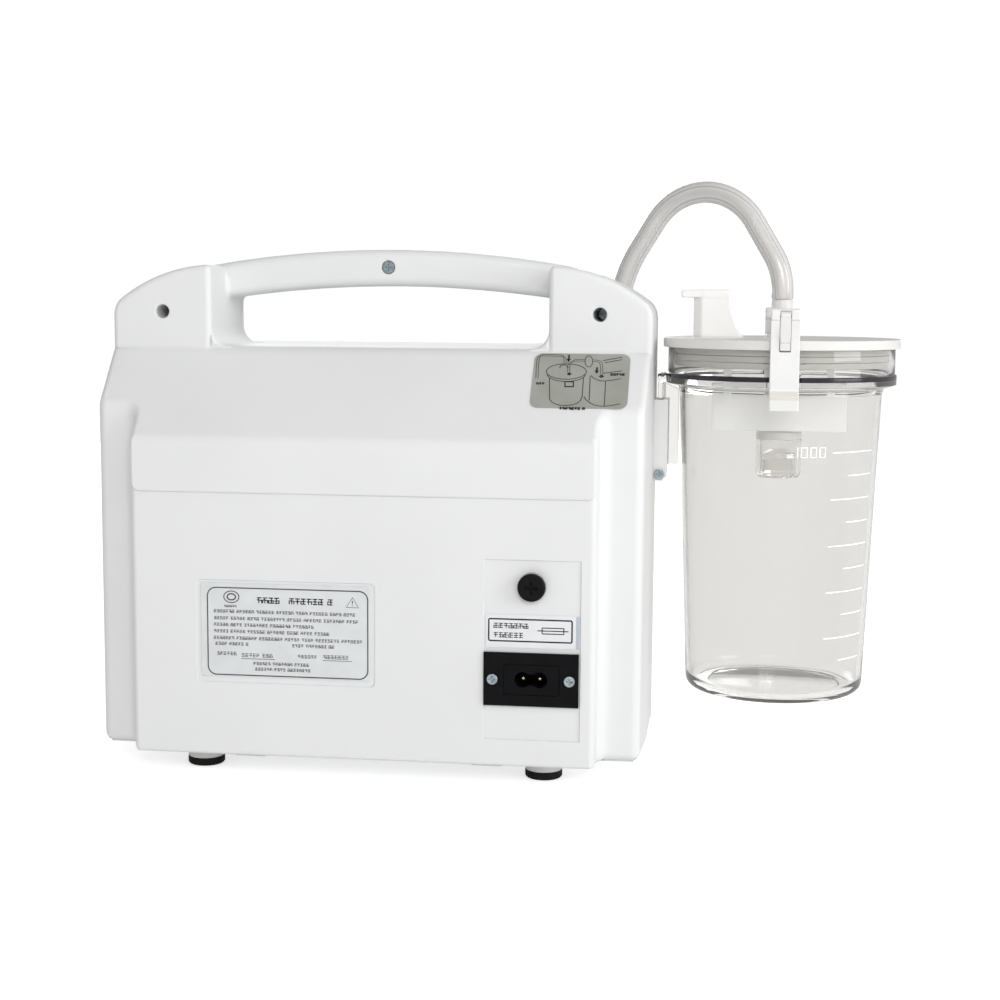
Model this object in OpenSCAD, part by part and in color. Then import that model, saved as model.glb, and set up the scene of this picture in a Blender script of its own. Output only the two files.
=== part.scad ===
// Portable suction pump: moulded two-shell housing with carrying handle, oil-free
// diaphragm vacuum pump inside, and a collection jar hung on the side.
// Millimetres. +Z up, -Y is the front (gauge, knob, switch), +Y the rear (mains
// inlet), the jar hangs on the -X side. The origin is on the floor, under the
// middle of the whole outline; place() moves every piece there from the drawing
// frame, whose own origin is under the middle of the housing.

/* [Housing] */
// Width of the housing across its sides
body_w = 289; // [286:1:292]
// Depth of the housing from front face to rear panel
body_d = 165; // [164:0.5:166]
// Height of the flat top of the housing above the floor
body_top = 224; // [223:0.5:225]
// Height of the lower edge of the housing above the floor
base_z = 13.5; // [13:0.5:14]
// Wall thickness of the mouldings
wall = 2.8; // [2.4:0.1:3.2]
// Half width of the raised middle of the rear panel
panel_half = 120.5; // [119:0.5:121]
// How far the side strips of the rear face are set back
side_recess = 15.35; // [14:0.05:16]
// Height at which the rear slope starts
slope_z0 = 179; // [178:0.5:180]
// Height of the seam across the rear panel
seam_z = 150.5; // [149:0.5:152]
// Radius of the two vertical front corners
front_r = 57; // [56:0.5:58]

/* [Handle] */
// Half width of the hand opening
grip_half = 90.5; // [90:0.5:91]
// Radius of the shoulders beside the handle
shoulder_r = 85; // [84.5:0.5:85.5]
// Height of the top of the grip
grip_top = 275.8; // [275:0.2:277]
// Height of the underside of the grip at its middle
grip_under = 256.3; // [255:0.2:257]
// Radius of the arched top of the grip
grip_arc = 573; // [565:1:585]

/* [Jar and lid] */
// Sideways distance from the housing centre to the jar axis
jar_off = 211.3; // [211.2:0.1:211.6]
// Front-to-back place of the jar axis
jar_y = -8.9; // [-9.1:0.1:-8.7]
// Outside radius of the jar wall under its collar
jar_r_top = 53.6; // [53:0.1:54]
// Outside radius of the jar wall at the bottom
jar_r_low = 47.7; // [47:0.1:48.5]
// Height of the jar's bottom above the floor
jar_bottom = 40; // [39:0.5:41]
// Wall thickness of the jar
jar_wall = 2.5; // [2.2:0.1:2.8]
// Radius of the lid
lid_r = 62.7; // [62.5:0.1:62.9]
// Thickness of the lid's rim
lid_t = 5; // [4.5:0.1:5.5]

/* [Hose] */
// Outside diameter of the vacuum hose
hose_od = 11.4; // [11:0.1:12]
// Inside diameter of the vacuum hose
hose_id = 7.4; // [7.2:0.1:7.8]

/* [Feet] */
// Diameter of the foot cups
foot_d = 19.2; // [18:0.1:20]
// Sideways place of the feet
foot_x = 91.6; // [90:0.5:93]
// Front-to-back place of the feet
foot_y = 49.5; // [49:0.5:50.5]

/* [Controls] */
// Radius of the vacuum gauge bezel
gauge_r = 33; // [32:0.5:34]
// Radius of the regulator knob
knob_r = 17; // [15:0.5:19]
// Travel of the rocker from off to on, degrees
rocker_swing = 18; // [14:1:20]

/* [Hidden] */
$fn = 64;

// Colours used by more than one piece
shell_white = [0.93, 0.93, 0.94];
clear_plastic = [0.85, 0.87, 0.88, 0.35];
cast_grey = [0.66, 0.67, 0.69];
screw_grey = [0.7, 0.72, 0.74];
screw_bright = [0.75, 0.77, 0.8];
latch_white = [0.95, 0.95, 0.95];

// Housing faces and profile
rear_y = body_d / 2;
front_y = -body_d / 2;
half_w = body_w / 2;
split_y = -22.5; // joint between the two shells
ridge_y = 36.5; // where the flat top meets the rear slope
recess_y = rear_y - side_recess;
slope_a = atan2(body_top - slope_z0, rear_y - ridge_y);
floor_t = 3;
floor_z = base_z + floor_t; // upper face of the base plate
inset_y = rear_y - 0.6; // floor of the inset around inlet and fuse

// Shoulders and grip
shoulder_x = 88;
shoulder_z = 267 - shoulder_r;
shoulder_front = -30;
grip_rear = 7.2;
grip_zc = grip_top - grip_arc;
under_r = 650;
under_zc = grip_under - under_r;
sill_r = 10;

// Housing screws
shoulder_screw_x = 117;
shoulder_screw_z = 242;
shoulder_seat_y = -2; // head seats of the shoulder screws
grip_screw_z = 266.3;
grip_seat_y = 4.4;
rear_boss = [100, 72.5]; // x, y of the base screw bosses
front_boss = [60, -72.5];
boss_top = 42;
boss_hole_top = 40;
pilot_r = 1.62; // bores for the 1.6 radius case screws
case_shank_r = 1.6;
clearance_r = 1.8;
small_pilot_r = 1.32; // bores for the 1.3 radius panel screws
small_clear_r = 1.4;

// Controls, mains inlet and fuse
gauge_x = -28;
gauge_z = 150;
knob_x = 46;
knob_z = 150;
knob_front = -108;
switch_x = 46;
switch_z = 78;
fuse_x = -88.2;
fuse_z = 106.4;
fuse_cap_out = 4.6; // how far the fuse cap stands behind the rear panel
inlet_x = -88.1;
inlet_z = 58.95;
inlet_screw_off = 19.55;
pin_off = 4.3; // each inlet pin from the middle

// Motor and pump
motor_y = 8;
motor_z = 78;
throw = 4;
head_x = -34;
mount_xs = [-50, 56];
mount_ys = [-26, 42];

// Vacuum fittings
port_x = -121;
port_y = -52.5;
cross_x = gauge_x;
cross_y = -36;
cross_z = 198;
barb_r = 2.45;
barb_bore_r = 1.4;

// Jar
jar_x = -jar_off;
lid_z = 225;
lid_top = lid_z + lid_t;
bracket_screw_off = 11.3;
bracket_screw_z = 186;
lock_screw_x = -half_w - 3.2;
lock_screw_z = 156.7;

// Hose, in the upright plane from the pump port to the lid port. Each end rises
// straight, bends over to its lean, runs straight and meets the top bend.
hose_span = sqrt(pow(jar_x - port_x, 2) + pow(jar_y - port_y, 2));
hose_turn = atan2(jar_y - port_y, jar_x - port_x);
pump_end_z = 226.6;
pump_bend_z = 238;
pump_bend_r = 70;
pump_lean = 35;
lid_end_z = 250.6;
lid_bend_z = 254.8;
lid_bend_r = 36;
lid_lean = 33;
top_bend_r = 36.25;
pump_bend_run = pump_bend_r * (1 - cos(pump_lean));
pump_bend_top = pump_bend_z + pump_bend_r * sin(pump_lean);
lid_bend_run = lid_bend_r * (1 - cos(lid_lean));
lid_bend_top = lid_bend_z + lid_bend_r * sin(lid_lean);
// what the two straight leaning stretches must cover, along and up
gap_along = hose_span - pump_bend_run - lid_bend_run
  - top_bend_r * (cos(pump_lean) + cos(lid_lean));
gap_up = lid_bend_top - pump_bend_top + top_bend_r * (sin(pump_lean) - sin(lid_lean));
// lengths of those stretches, from closing the path
lid_straight = (gap_along * cos(pump_lean) - gap_up * sin(pump_lean))
  / (sin(lid_lean) * cos(pump_lean) + cos(lid_lean) * sin(pump_lean));
pump_straight = (gap_along - lid_straight * sin(lid_lean)) / sin(pump_lean);
// centre of the top bend
top_along = pump_bend_run + pump_straight * sin(pump_lean) + top_bend_r * cos(pump_lean);
top_z = pump_bend_top + pump_straight * cos(pump_lean) - top_bend_r * sin(pump_lean);

// From the middle of the housing to the middle of the whole outline
shift_x = (jar_off + lid_r - half_w) / 2;
shift_y = -(knob_front + rear_y + fuse_cap_out) / 2;

// height of the rear slope at a given y
function slope_at(y) = slope_z0 + (rear_y - y) * tan(slope_a);

// ---- shapes ----
module box(x0, x1, y0, y1, z0, z1) translate([x0, y0, z0]) cube([x1 - x0, y1 - y0, z1 - z0]);
// cylinders along one axis, between two places on it
module cyl_x(x0, x1, r, y = 0, z = 0)
  translate([x0, y, z]) rotate([0, 90, 0]) cylinder(h = x1 - x0, r = r);
module cyl_y(y0, y1, r, x = 0, z = 0)
  translate([x, y0, z]) rotate([-90, 0, 0]) cylinder(h = y1 - y0, r = r);
module cyl_z(z0, z1, r, x = 0, y = 0) translate([x, y, z0]) cylinder(h = z1 - z0, r = r);
// a drawing in X and Z, given depth from y0 to y1
module extrude_y(y0, y1) translate([0, y1, 0]) rotate([90, 0, 0]) linear_extrude(y1 - y0) children();
// a drawing in Y and Z, given width from x0 to x1
module extrude_x(x0, x1) translate([x0, 0, 0]) rotate([90, 0, 90]) linear_extrude(x1 - x0) children();
// rounded plate standing in X and Z
module plate_xz(x0, x1, z0, z1, y0, y1, r) {
  box(x0 + r, x1 - r, y0, y1, z0, z1);
  box(x0, x1, y0, y1, z0 + r, z1 - r);
  for (x = [x0 + r, x1 - r], z = [z0 + r, z1 - r]) cyl_y(y0, y1, r, x, z);
}
module ring_y(y0, y1, outer_r, inner_r) difference() {
  cyl_y(y0, y1, outer_r);
  cyl_y(y0 - 1, y1 + 1, inner_r);
}
module ring_z(z0, z1, outer_r, inner_r) difference() {
  cyl_z(z0, z1, outer_r);
  cyl_z(z0 - 1, z1 + 1, inner_r);
}
// a straight round bar between two points
module bar(from, to, r) {
  span = to - from;
  length = norm(span);
  translate(from) rotate([0, acos(span[2] / length), atan2(span[1], span[0])])
    cylinder(h = length, r = r);
}
// a round bar along a list of points, with ball corners
module bent_bar(points, r) {
  last = len(points) - 1;
  for (i = [0:last - 1]) bar(points[i], points[i + 1], r);
  if (last > 1) for (i = [1:last - 1]) translate(points[i]) sphere(r = r);
}
function direction(from, to) = (to - from) / norm(to - from);
module pipe(points, outer_r, inner_r) {
  last = len(points) - 1;
  first_dir = direction(points[0], points[1]);
  last_dir = direction(points[last - 1], points[last]);
  difference() {
    bent_bar(points, outer_r);
    union() {
      bent_bar(points, inner_r);
      // open the two ends
      bar(points[0] - first_dir, points[0] + first_dir, inner_r);
      bar(points[last] - last_dir, points[last] + last_dir, inner_r);
    }
  }
}
// pan-head screw with a cross recess; the head's underside sits at the origin,
// the shank runs along -Z
module screw(head_r, head_h, shank_r, length) difference() {
  union() {
    cylinder(h = head_h, r = head_r);
    translate([0, 0, -length]) cylinder(h = length, r = shank_r);
  }
  for (size = [[head_r * 0.6, 0.4], [0.4, head_r * 0.6]])
    box(-size[0], size[0], -size[1], size[1], head_h - 0.9, head_h + 1.1);
}
// a screw whose head faces the rear, and one whose head faces down
module screw_rear(y, head_r, head_h, shank_r, length)
  translate([0, y, 0]) rotate([-90, 0, 0]) screw(head_r, head_h, shank_r, length);
module screw_down(z, head_r, head_h, shank_r, length)
  translate([0, 0, z]) rotate([180, 0, 0]) screw(head_r, head_h, shank_r, length);

// ---- places ----
module place() translate([shift_x, shift_y, 0]) children();
module mirror_x() {
  children();
  mirror([1, 0, 0]) children();
}
module at_feet() for (x = [-foot_x, foot_x], y = [-foot_y, foot_y]) translate([x, y, 0]) children();
module at_mounts() for (x = mount_xs, y = mount_ys) translate([x, y, 0]) children();
module at_shoulder_screws()
  for (side = [-1, 1]) translate([side * shoulder_screw_x, 0, shoulder_screw_z]) children();
module at_grip_screw() translate([0, 0, grip_screw_z]) children();
module at_base_screws(bosses)
  for (side = [-1, 1], boss = bosses) translate([side * boss[0], boss[1], 0]) children();
module at_gauge() translate([gauge_x, 0, gauge_z]) children();
module at_knob() translate([knob_x, 0, knob_z]) children();
module at_switch() translate([switch_x, 0, switch_z]) children();
module at_inlet() translate([inlet_x, 0, inlet_z]) children();
module at_inlet_screws() at_inlet()
  for (side = [-1, 1]) translate([side * inlet_screw_off, 0, 0]) children();
module at_fuse() translate([fuse_x, 0, fuse_z]) children();
module at_port() translate([port_x, port_y, 0]) children();
module at_shaft() translate([0, motor_y, motor_z]) children();
module at_head() translate([head_x, motor_y, 0]) children();
module at_jar() translate([jar_x, jar_y, 0]) children();
// drawn once at the rear of the jar axis, repeated at the front
module at_latches() for (turn = [0, 180]) rotate([0, 0, turn]) children();

// ---- housing ----
// plan of the rear half, drawn in X and Y, shrunk by inset
module rear_plan(inset) {
  front = split_y - (inset > 0 ? 1 : 0);
  side = half_w - inset;
  rear_side = half_w - 2 - inset;
  polygon([
    [-side, front], [side, front], [side, 30],
    [rear_side, recess_y - inset], [-rear_side, recess_y - inset], [-side, 30]
  ]);
}
module rear_block(inset, z0) intersection() {
  extrude_x(-200, 200) polygon([
    [split_y - 2, z0], [recess_y - inset, z0],
    [recess_y - inset, slope_at(recess_y) - inset / cos(slope_a)],
    [ridge_y - inset * tan(slope_a / 2), body_top - inset], [split_y - 2, body_top - inset]
  ]);
  linear_extrude(400) rear_plan(inset);
}
// raised middle of the rear panel
module rear_mid(inset, z0) extrude_x(-(panel_half - inset), panel_half - inset) polygon([
  [recess_y - 10, z0], [rear_y - inset, z0],
  [rear_y - inset, slope_z0 - inset * tan(slope_a / 2)],
  [recess_y - 10, slope_at(recess_y - 10) - inset / cos(slope_a)]
]);
module shoulder(y0, y1, inset) intersection() {
  cyl_y(y0, y1, shoulder_r - inset, shoulder_x, shoulder_z);
  box(grip_half + inset, half_w - inset, y0 - 1, y1 + 1, body_top - 5, 300);
}
// fillet between a shoulder's inner face and the sill
module sill_fillet(y0, y1) difference() {
  box(grip_half - sill_r, grip_half + 1, y0, y1, body_top - 1, body_top + sill_r);
  cyl_y(y0 - 1, y1 + 1, sill_r, grip_half - sill_r, body_top + sill_r);
}
module grip(y0, y1, inset, half) intersection() {
  difference() {
    cyl_y(y0, y1, grip_arc - inset, 0, grip_zc);
    cyl_y(y0 - 1, y1 + 1, under_r + inset, 0, under_zc);
  }
  box(-half, half, y0 - 1, y1 + 1, 240, 290);
}
// shoulders, sill fillets and grip, solid
module handle_solid(y0, shoulder_y1, grip_y1) {
  mirror_x() shoulder(y0, shoulder_y1, 0);
  mirror_x() sill_fillet(y0, shoulder_y1);
  grip(y0, grip_y1, 0, 104);
}
// base screw bosses, each with a rib from rib_y0 to rib_y1, seen from its axis
module base_bosses(boss, rib_y0, rib_y1) at_base_screws([boss]) {
  cyl_z(floor_z, boss_top, 5);
  box(-1.2, 1.2, rib_y0, rib_y1, floor_z, boss_top);
}

module rear_shell() color(shell_white) difference() {
  union() {
    difference() {
      union() {
        rear_block(0, base_z);
        rear_mid(0, base_z);
        // thicker band above the seam
        box(-panel_half, panel_half, rear_y - 1, rear_y + 1.2, seam_z, slope_z0 - 0.6);
        handle_solid(split_y, ridge_y, grip_rear);
      }
      rear_block(wall, base_z - 1);
      rear_mid(wall, base_z - 1);
      mirror_x() shoulder(split_y - 1, ridge_y - wall, wall);
      grip(split_y - 1, grip_rear - wall, wall, 92);
    }
    // long bosses for the shoulder screws and the grip screw
    at_shoulder_screws() cyl_y(split_y, ridge_y - 1, 5.5);
    at_grip_screw() cyl_y(split_y, grip_rear - 1, 5);
    base_bosses(rear_boss, 0, rear_y - wall + 0.5 - rear_boss[1]);
    // lug on the side that locks the jar bracket
    box(-half_w - 6.4, -half_w + 1, split_y + 0.1, -10.1, 153, 160.5);
  }
  // screw wells and holes in the shoulders
  at_shoulder_screws() cyl_y(shoulder_seat_y, ridge_y + 1, 3.65);
  at_shoulder_screws() cyl_y(split_y - 1, 0, clearance_r);
  // screw well and hole in the grip
  at_grip_screw() cyl_y(grip_seat_y, grip_rear + 1, 3.6);
  at_grip_screw() cyl_y(split_y - 1, 5, clearance_r);
  at_base_screws([rear_boss]) cyl_z(base_z, boss_hole_top, pilot_r);
  // shallow inset around the mains inlet and fuse, and for the nameplate
  box(-112.8, -64, inset_y, rear_y + 3, 27.5, 119.6);
  plate_xz(-7.7, 85.8, 52, 105.4, rear_y - 0.4, rear_y + 3, 2.5);
  // openings for the inlet, its screws and the fuse holder
  at_inlet() box(-16.2, 16.2, 70, rear_y + 3, -10.2, 10.2);
  at_inlet_screws() cyl_y(70, rear_y + 3, small_pilot_r);
  at_fuse() cyl_y(70, rear_y + 3, 6.25);
  // holes for the jar bracket screws
  cyl_y(split_y, 0, small_pilot_r, lock_screw_x, lock_screw_z);
  for (side = [-1, 1])
    cyl_x(-half_w - 1, -half_w + wall + 1, small_clear_r,
      jar_y + side * bracket_screw_off, bracket_screw_z);
}
// D-shaped plan of the front half, shrunk by inset
module front_plan(inset) {
  corner_x = half_w - front_r;
  corner_y = front_y + front_r;
  overlap = inset > 0 ? 1 : 0;
  translate([-corner_x, front_y + inset])
    square([2 * corner_x, split_y - front_y - inset + overlap]);
  translate([-(half_w - inset), corner_y])
    square([2 * (half_w - inset), split_y - corner_y + overlap]);
  for (side = [-1, 1]) intersection() {
    translate([side * corner_x, corner_y]) circle(r = front_r - inset);
    translate([-200, -200]) square([400, 200 + split_y]);
  }
}
module front_shell() color(shell_white) difference() {
  union() {
    difference() {
      union() {
        translate([0, 0, base_z]) linear_extrude(body_top - base_z) front_plan(0);
        handle_solid(shoulder_front, split_y, split_y);
      }
      translate([0, 0, base_z - 1]) linear_extrude(body_top - base_z - wall + 1) front_plan(wall);
      mirror_x() shoulder(shoulder_front + wall, split_y + 1, wall);
      grip(shoulder_front + wall, split_y + 1, wall, 92);
    }
    // pad behind the front panel
    box(-78, 78, front_y + 1, front_y + wall + 1.4, 42, 208);
    at_shoulder_screws() cyl_y(shoulder_front + 1, split_y, 4.5);
    at_grip_screw() cyl_y(shoulder_front + 1, split_y, 4.5);
    base_bosses(front_boss, front_y + wall - 0.5 - front_boss[1], 0);
  }
  panel_blank(front_y - 1, front_y + panel_t, 0);
  panel_openings(front_y + 8);
  at_shoulder_screws() cyl_y(shoulder_front + 1.2, split_y + 1, pilot_r);
  at_grip_screw() cyl_y(shoulder_front + 1.2, split_y + 1, pilot_r);
  at_base_screws([front_boss]) cyl_z(base_z, boss_hole_top, pilot_r);
  at_port() cyl_z(body_top - 5, body_top + 1, 5.1);
}
module base_plate() {
  gap = 0.25; // clearance to the shell walls
  side = half_w - 5.1;
  mid = panel_half - wall - gap;
  plate_rear = rear_y - wall - gap;
  color([0.90, 0.90, 0.91]) difference() {
    union() {
      translate([0, 0, base_z]) linear_extrude(floor_t) union() {
        front_plan(wall + gap);
        translate([-side, split_y - 5])
          square([2 * side, recess_y - wall - gap - split_y + 5]);
        translate([-mid, split_y]) square([2 * mid, plate_rear - split_y]);
      }
      // locating tabs at the rear edge
      for (x0 = [51.3, -73.1])
        box(x0, x0 + 15.5, 66, rear_y - wall - 0.4, base_z - 1, base_z + 1);
      // bosses that take the foot screws
      at_feet() cyl_z(floor_z - 0.5, floor_z + 6, 5);
    }
    at_feet() cyl_z(base_z - 2, floor_z + 7, 2.02);
    // cooling slots under the motor
    for (i = [-4:4]) box(8 + i * 9 - 2, 8 + i * 9 + 2, -8, 24, base_z - 2, floor_z + 1);
    // holes and head wells for the housing screws
    at_base_screws([rear_boss, front_boss]) {
      cyl_z(base_z - 1, floor_z + 1, clearance_r);
      cyl_z(base_z - 1, base_z + 1.5, 3.5);
    }
    // seats for the rubber mounts
    at_mounts() cyl_z(base_z - 1, floor_z + 1, 3);
  }
}

// ---- feet and housing screws ----
foot_r = foot_d / 2;
pad_top = 4.2;
foot_bore_r = 2.2;
foot_seat_z = 3.6;

module foot_cups() color([0.86, 0.86, 0.85]) at_feet() difference() {
  cyl_z(pad_top, base_z, foot_r);
  cyl_z(3, base_z + 1, foot_bore_r);
  cyl_z(3, 6, foot_r - 1.6);
}
module foot_pads() color([0.08, 0.08, 0.08]) at_feet() difference() {
  union() {
    cylinder(h = 1, r1 = foot_r - 0.8, r2 = foot_r + 0.2);
    cyl_z(1, pad_top, foot_r + 0.2);
    cyl_z(4, 6, foot_r - 1.7);
  }
  cyl_z(-1, 7, foot_bore_r);
  cyl_z(-1, foot_seat_z, 4.4);
}
module foot_screws() color(screw_grey) at_feet() screw_down(foot_seat_z, 4, 2.4, 2, 19);
module case_screws() color(screw_bright) {
  at_shoulder_screws() screw_rear(shoulder_seat_y, 3.3, 2.4, case_shank_r, 26);
  at_base_screws([rear_boss, front_boss]) screw_down(base_z + 1.5, 3.3, 1.4, case_shank_r, 20);
}
module handle_screw() color(screw_bright)
  at_grip_screw() screw_rear(grip_seat_y, 3.3, 2.2, case_shank_r, 32);

// ---- jar bracket on the housing side ----
bracket_x = -half_w - 7.3; // outer face
bracket_rear = jar_y + 13.5;
bracket_foot_front = -10;

module jar_bracket() color([0.92, 0.92, 0.93]) difference() {
  union() {
    box(bracket_x, -half_w, jar_y - 13.5, bracket_rear, 160.6, 196.6);
    // foot with its rounded outer corner, behind the housing's lug
    box(bracket_x, -half_w, bracket_foot_front, bracket_rear, 158, 161);
    box(bracket_x + 2, -half_w, bracket_foot_front, bracket_rear, 153, 159);
    intersection() {
      cyl_y(bracket_foot_front, bracket_rear, 5, bracket_x + 5, 158);
      box(bracket_x, -half_w, -11, jar_y + 14, 153, 161);
    }
  }
  // T-slot for the jar's hook, open at the top
  box(-half_w - 4.6, -half_w - 1.4, jar_y - 9.3, jar_y + 9.3, 160.9, 200);
  box(-half_w - 9, -half_w - 3, jar_y - 2.5, jar_y + 2.5, 160.9, 200);
  cyl_y(-11, 10, small_clear_r, lock_screw_x, lock_screw_z);
  for (side = [-1, 1])
    cyl_x(-half_w - 6.3, -half_w + 1, small_pilot_r,
      jar_y + side * bracket_screw_off, bracket_screw_z);
}
// screws of the mains inlet and the jar bracket
module panel_screws() {
  head_r = 2.75;
  head_h = 1.2;
  shank_r = 1.3;
  color([0.72, 0.78, 0.82]) {
    at_inlet_screws() screw_rear(rear_y + 1.1, head_r, head_h, shank_r, 7.6);
    translate([lock_screw_x, 0, lock_screw_z])
      screw_rear(bracket_rear, head_r, head_h, shank_r, 26);
    // from inside the housing into the bracket
    for (side = [-1, 1])
      translate([-half_w + wall, jar_y + side * bracket_screw_off, bracket_screw_z])
        rotate([0, 90, 0]) screw(head_r, head_h, shank_r, 8.6);
  }
}

// ---- front panel and controls ----
panel_t = 1.2;
gauge_case_r = 28;
window_r = 26.5; // inside of the gauge case and bezel
lens_y = front_y - 4;
switch_half_w = 10.7; // body of the switch
switch_half_h = 15.1;
rocker_y = -79.5; // rocker pivot
knob_back = -88;

// outline of the front panel or its recess, shrunk by gap
module panel_blank(y0, y1, gap)
  plate_xz(-80 + gap, 80 - gap, 40 + gap, 210 - gap, y0, y1, 10 - gap);
// openings for gauge, knob and switch, as far back as y1
module panel_openings(y1) {
  fit = 0.2;
  half_x = switch_half_w + fit;
  half_z = switch_half_h + fit;
  at_gauge() cyl_y(front_y - 1, y1, gauge_case_r + fit);
  at_knob() cyl_y(front_y - 1, y1, 6 + fit);
  at_switch() box(-half_x, half_x, front_y - 1, y1, -half_z, half_z);
}
module front_panel() color([0.55, 0.72, 0.80]) difference() {
  panel_blank(front_y, front_y + panel_t, 0.2);
  panel_openings(front_y + 2);
}
module gauge_case() color([0.15, 0.15, 0.16]) at_gauge() difference() {
  union() {
    cyl_y(front_y, -50, gauge_case_r);
    cyl_y(-50, -42, barb_r);
    cyl_y(-51, -46, 6);
  }
  cyl_y(front_y - 1, -52, window_r);
  cyl_y(-53, -41, barb_bore_r);
}
module gauge_dial() color([0.97, 0.97, 0.96]) at_gauge() difference() {
  cyl_y(-77, -76.2, 26.4);
  cyl_y(-78, -75, 0.86);
}
module gauge_bezel() color([0.2, 0.2, 0.21]) at_gauge() difference() {
  cyl_y(front_y - 5.5, front_y, gauge_r);
  cyl_y(front_y - 6, front_y + 1, window_r);
  cyl_y(lens_y, front_y + 1, 28.5);
}
module gauge_lens() color([0.85, 0.9, 0.92, 0.3]) at_gauge() cyl_y(lens_y, lens_y + 2, 28.45);
// Pointer at rest on zero, at the lower left of the dial.
module gauge_needle() color([0.75, 0.1, 0.08]) at_gauge() rotate([0, -45, 0]) {
  cyl_y(-81.5, -79.5, 2.6);
  cyl_y(-79.6, -70, 0.8);
  extrude_y(-80.8, -80.2)
    polygon([[-21, -0.4], [-21, 0.4], [0, 1.1], [8, 1.3], [8, -1.3], [0, -1.1]]);
}
module switch_frame() color([0.1, 0.1, 0.11]) at_switch() difference() {
  union() {
    plate_xz(-12.5, 12.5, -17, 17, front_y - 2, front_y, 1.5);
    box(-switch_half_w, switch_half_w, front_y - 0.1, -62, -switch_half_h, switch_half_h);
    // two terminals
    for (x = [-7, 1]) box(x, x + 0.8, -62.1, -56, -3, 3);
  }
  box(-9.2, 9.2, front_y - 3, -70, -13.9, 13.9);
  cyl_x(-10.2, 10.2, 1.55, rocker_y);
}
module switch_rocker() color([0.1, 0.45, 0.2])
  at_switch() translate([0, rocker_y, 0]) rotate([rocker_swing / 2, 0, 0]) {
    extrude_x(-8.95, 8.95) polygon([
      [-7, -12.6], [-5, 0], [-7, 12.6], [-2, 12.8], [3, 3.5], [3, -3.5], [-2, -12.8]
    ]);
    cyl_x(-10, 10, 1.5);
  }
module regulator_valve() color([0.75, 0.66, 0.4]) at_knob() difference() {
  union() {
    cyl_y(-87.5, -76, 6);
    cyl_y(-77.2, -52, 9);
    cyl_y(-52.2, -42, barb_r);
  }
  cyl_y(-88, -58, 3.05);
  cyl_y(-59, -41, barb_bore_r);
}
module regulator_knob() color([0.12, 0.2, 0.35]) at_knob() difference() {
  union() {
    cyl_y(knob_front, knob_back, knob_r - 2.2);
    // grip ribs
    for (i = [0:11]) rotate([0, i * 30, 0]) cyl_y(-107, -88.6, 2.6, knob_r - 2.6);
    // flared skirt
    translate([0, knob_back, 0]) rotate([90, 0, 0])
      cylinder(h = 2, r1 = knob_r + 0.5, r2 = knob_r - 1);
    cyl_y(-89, -60, 3);
  }
  // hollow rear side around the stem
  ring_y(-96, knob_back + 1, 7, 3);
  // index groove
  box(-0.7, 0.7, -110, -107.2, 4, 12);
}

// ---- pneumatic fittings ----
tube_r = 4;
tube_bore_r = 2.5;

module pump_port() color([0.88, 0.88, 0.86]) at_port() difference() {
  union() {
    cyl_z(body_top, body_top + 2.4, 9);
    cyl_z(body_top + 2, pump_bend_z, 3.6);
    cyl_z(212, body_top + 1, 5);
    // nut under the top wall
    cyl_z(body_top - wall - 4, body_top - wall, 8);
    cyl_z(202, 213, barb_r);
  }
  cyl_z(200, pump_bend_z + 1, 1.5);
}
// block with four barbs: left, right, down and rear
module tube_cross() color([0.85, 0.85, 0.83]) translate([cross_x, cross_y, cross_z]) difference() {
  union() {
    box(-8, 8, -8, 8, -8, 8);
    cyl_x(-18, 18, barb_r);
    cyl_z(-18, 0, barb_r);
    cyl_y(0, 18, barb_r);
  }
  cyl_x(-19, 19, barb_bore_r);
  cyl_z(-19, 0, barb_bore_r);
  cyl_y(0, 19, barb_bore_r);
}
module inner_tubes() {
  start = 9; // tube ends, measured from the middle of the cross
  pump_barb_x = head_x - 16;
  gauge_route = [
    [gauge_x, -46, gauge_z], [gauge_x, cross_y, gauge_z], [gauge_x, cross_y, cross_z - start]
  ];
  regulator_route = [
    [knob_x, -51, knob_z], [knob_x, cross_y, knob_z],
    [knob_x, cross_y, cross_z], [cross_x + start, cross_y, cross_z]
  ];
  port_route = [
    [cross_x - start, cross_y, cross_z], [port_x, cross_y, cross_z],
    [port_x, port_y, cross_z], [port_x, port_y, 209]
  ];
  pump_route = [
    [cross_x, cross_y + start, cross_z], [cross_x, motor_y, cross_z],
    [pump_barb_x, motor_y, cross_z], [pump_barb_x, motor_y, 161]
  ];
  color([0.9, 0.9, 0.88])
    for (route = [gauge_route, regulator_route, port_route, pump_route])
      pipe(route, tube_r, tube_bore_r);
}

// ---- mains inlet, fuse and labels ----
module power_inlet() color([0.09, 0.09, 0.1]) difference() {
  at_inlet() {
    box(-24.1, 24.1, inset_y, rear_y + 1.1, -13.65, 13.65);
    box(-16, 16, 62, inset_y + 0.1, -10, 10);
  }
  at_inlet() {
    // outline groove of the socket block
    difference() {
      plate_xz(-14.6, 14, -8, 8, rear_y + 0.6, rear_y + 2, 1.2);
      plate_xz(-14.1, 13.5, -7.5, 7.5, rear_y, rear_y + 3, 0.8);
    }
    // twin-lobed socket well
    for (side = [-1, 1]) cyl_y(67, rear_y + 2, 4, side * pin_off);
    box(-3, 3, 67, rear_y + 2, -2.9, 2.9);
    // pin holes
    for (side = [-1, 1]) cyl_y(60, rear_y, 1.2, side * pin_off);
  }
  at_inlet_screws() cyl_y(75, rear_y + 2, small_clear_r);
}
module inlet_pins() {
  pin_r = 1.18;
  tip_y = 79.5;
  color([0.8, 0.72, 0.5])
    at_inlet() for (side = [-1, 1]) translate([side * pin_off, 0, 0]) {
      cyl_y(60, tip_y, pin_r);
      translate([0, tip_y, 0]) sphere(r = pin_r);
      box(-2, 2, 54, 60.5, -0.4, 0.4);
    }
}
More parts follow.
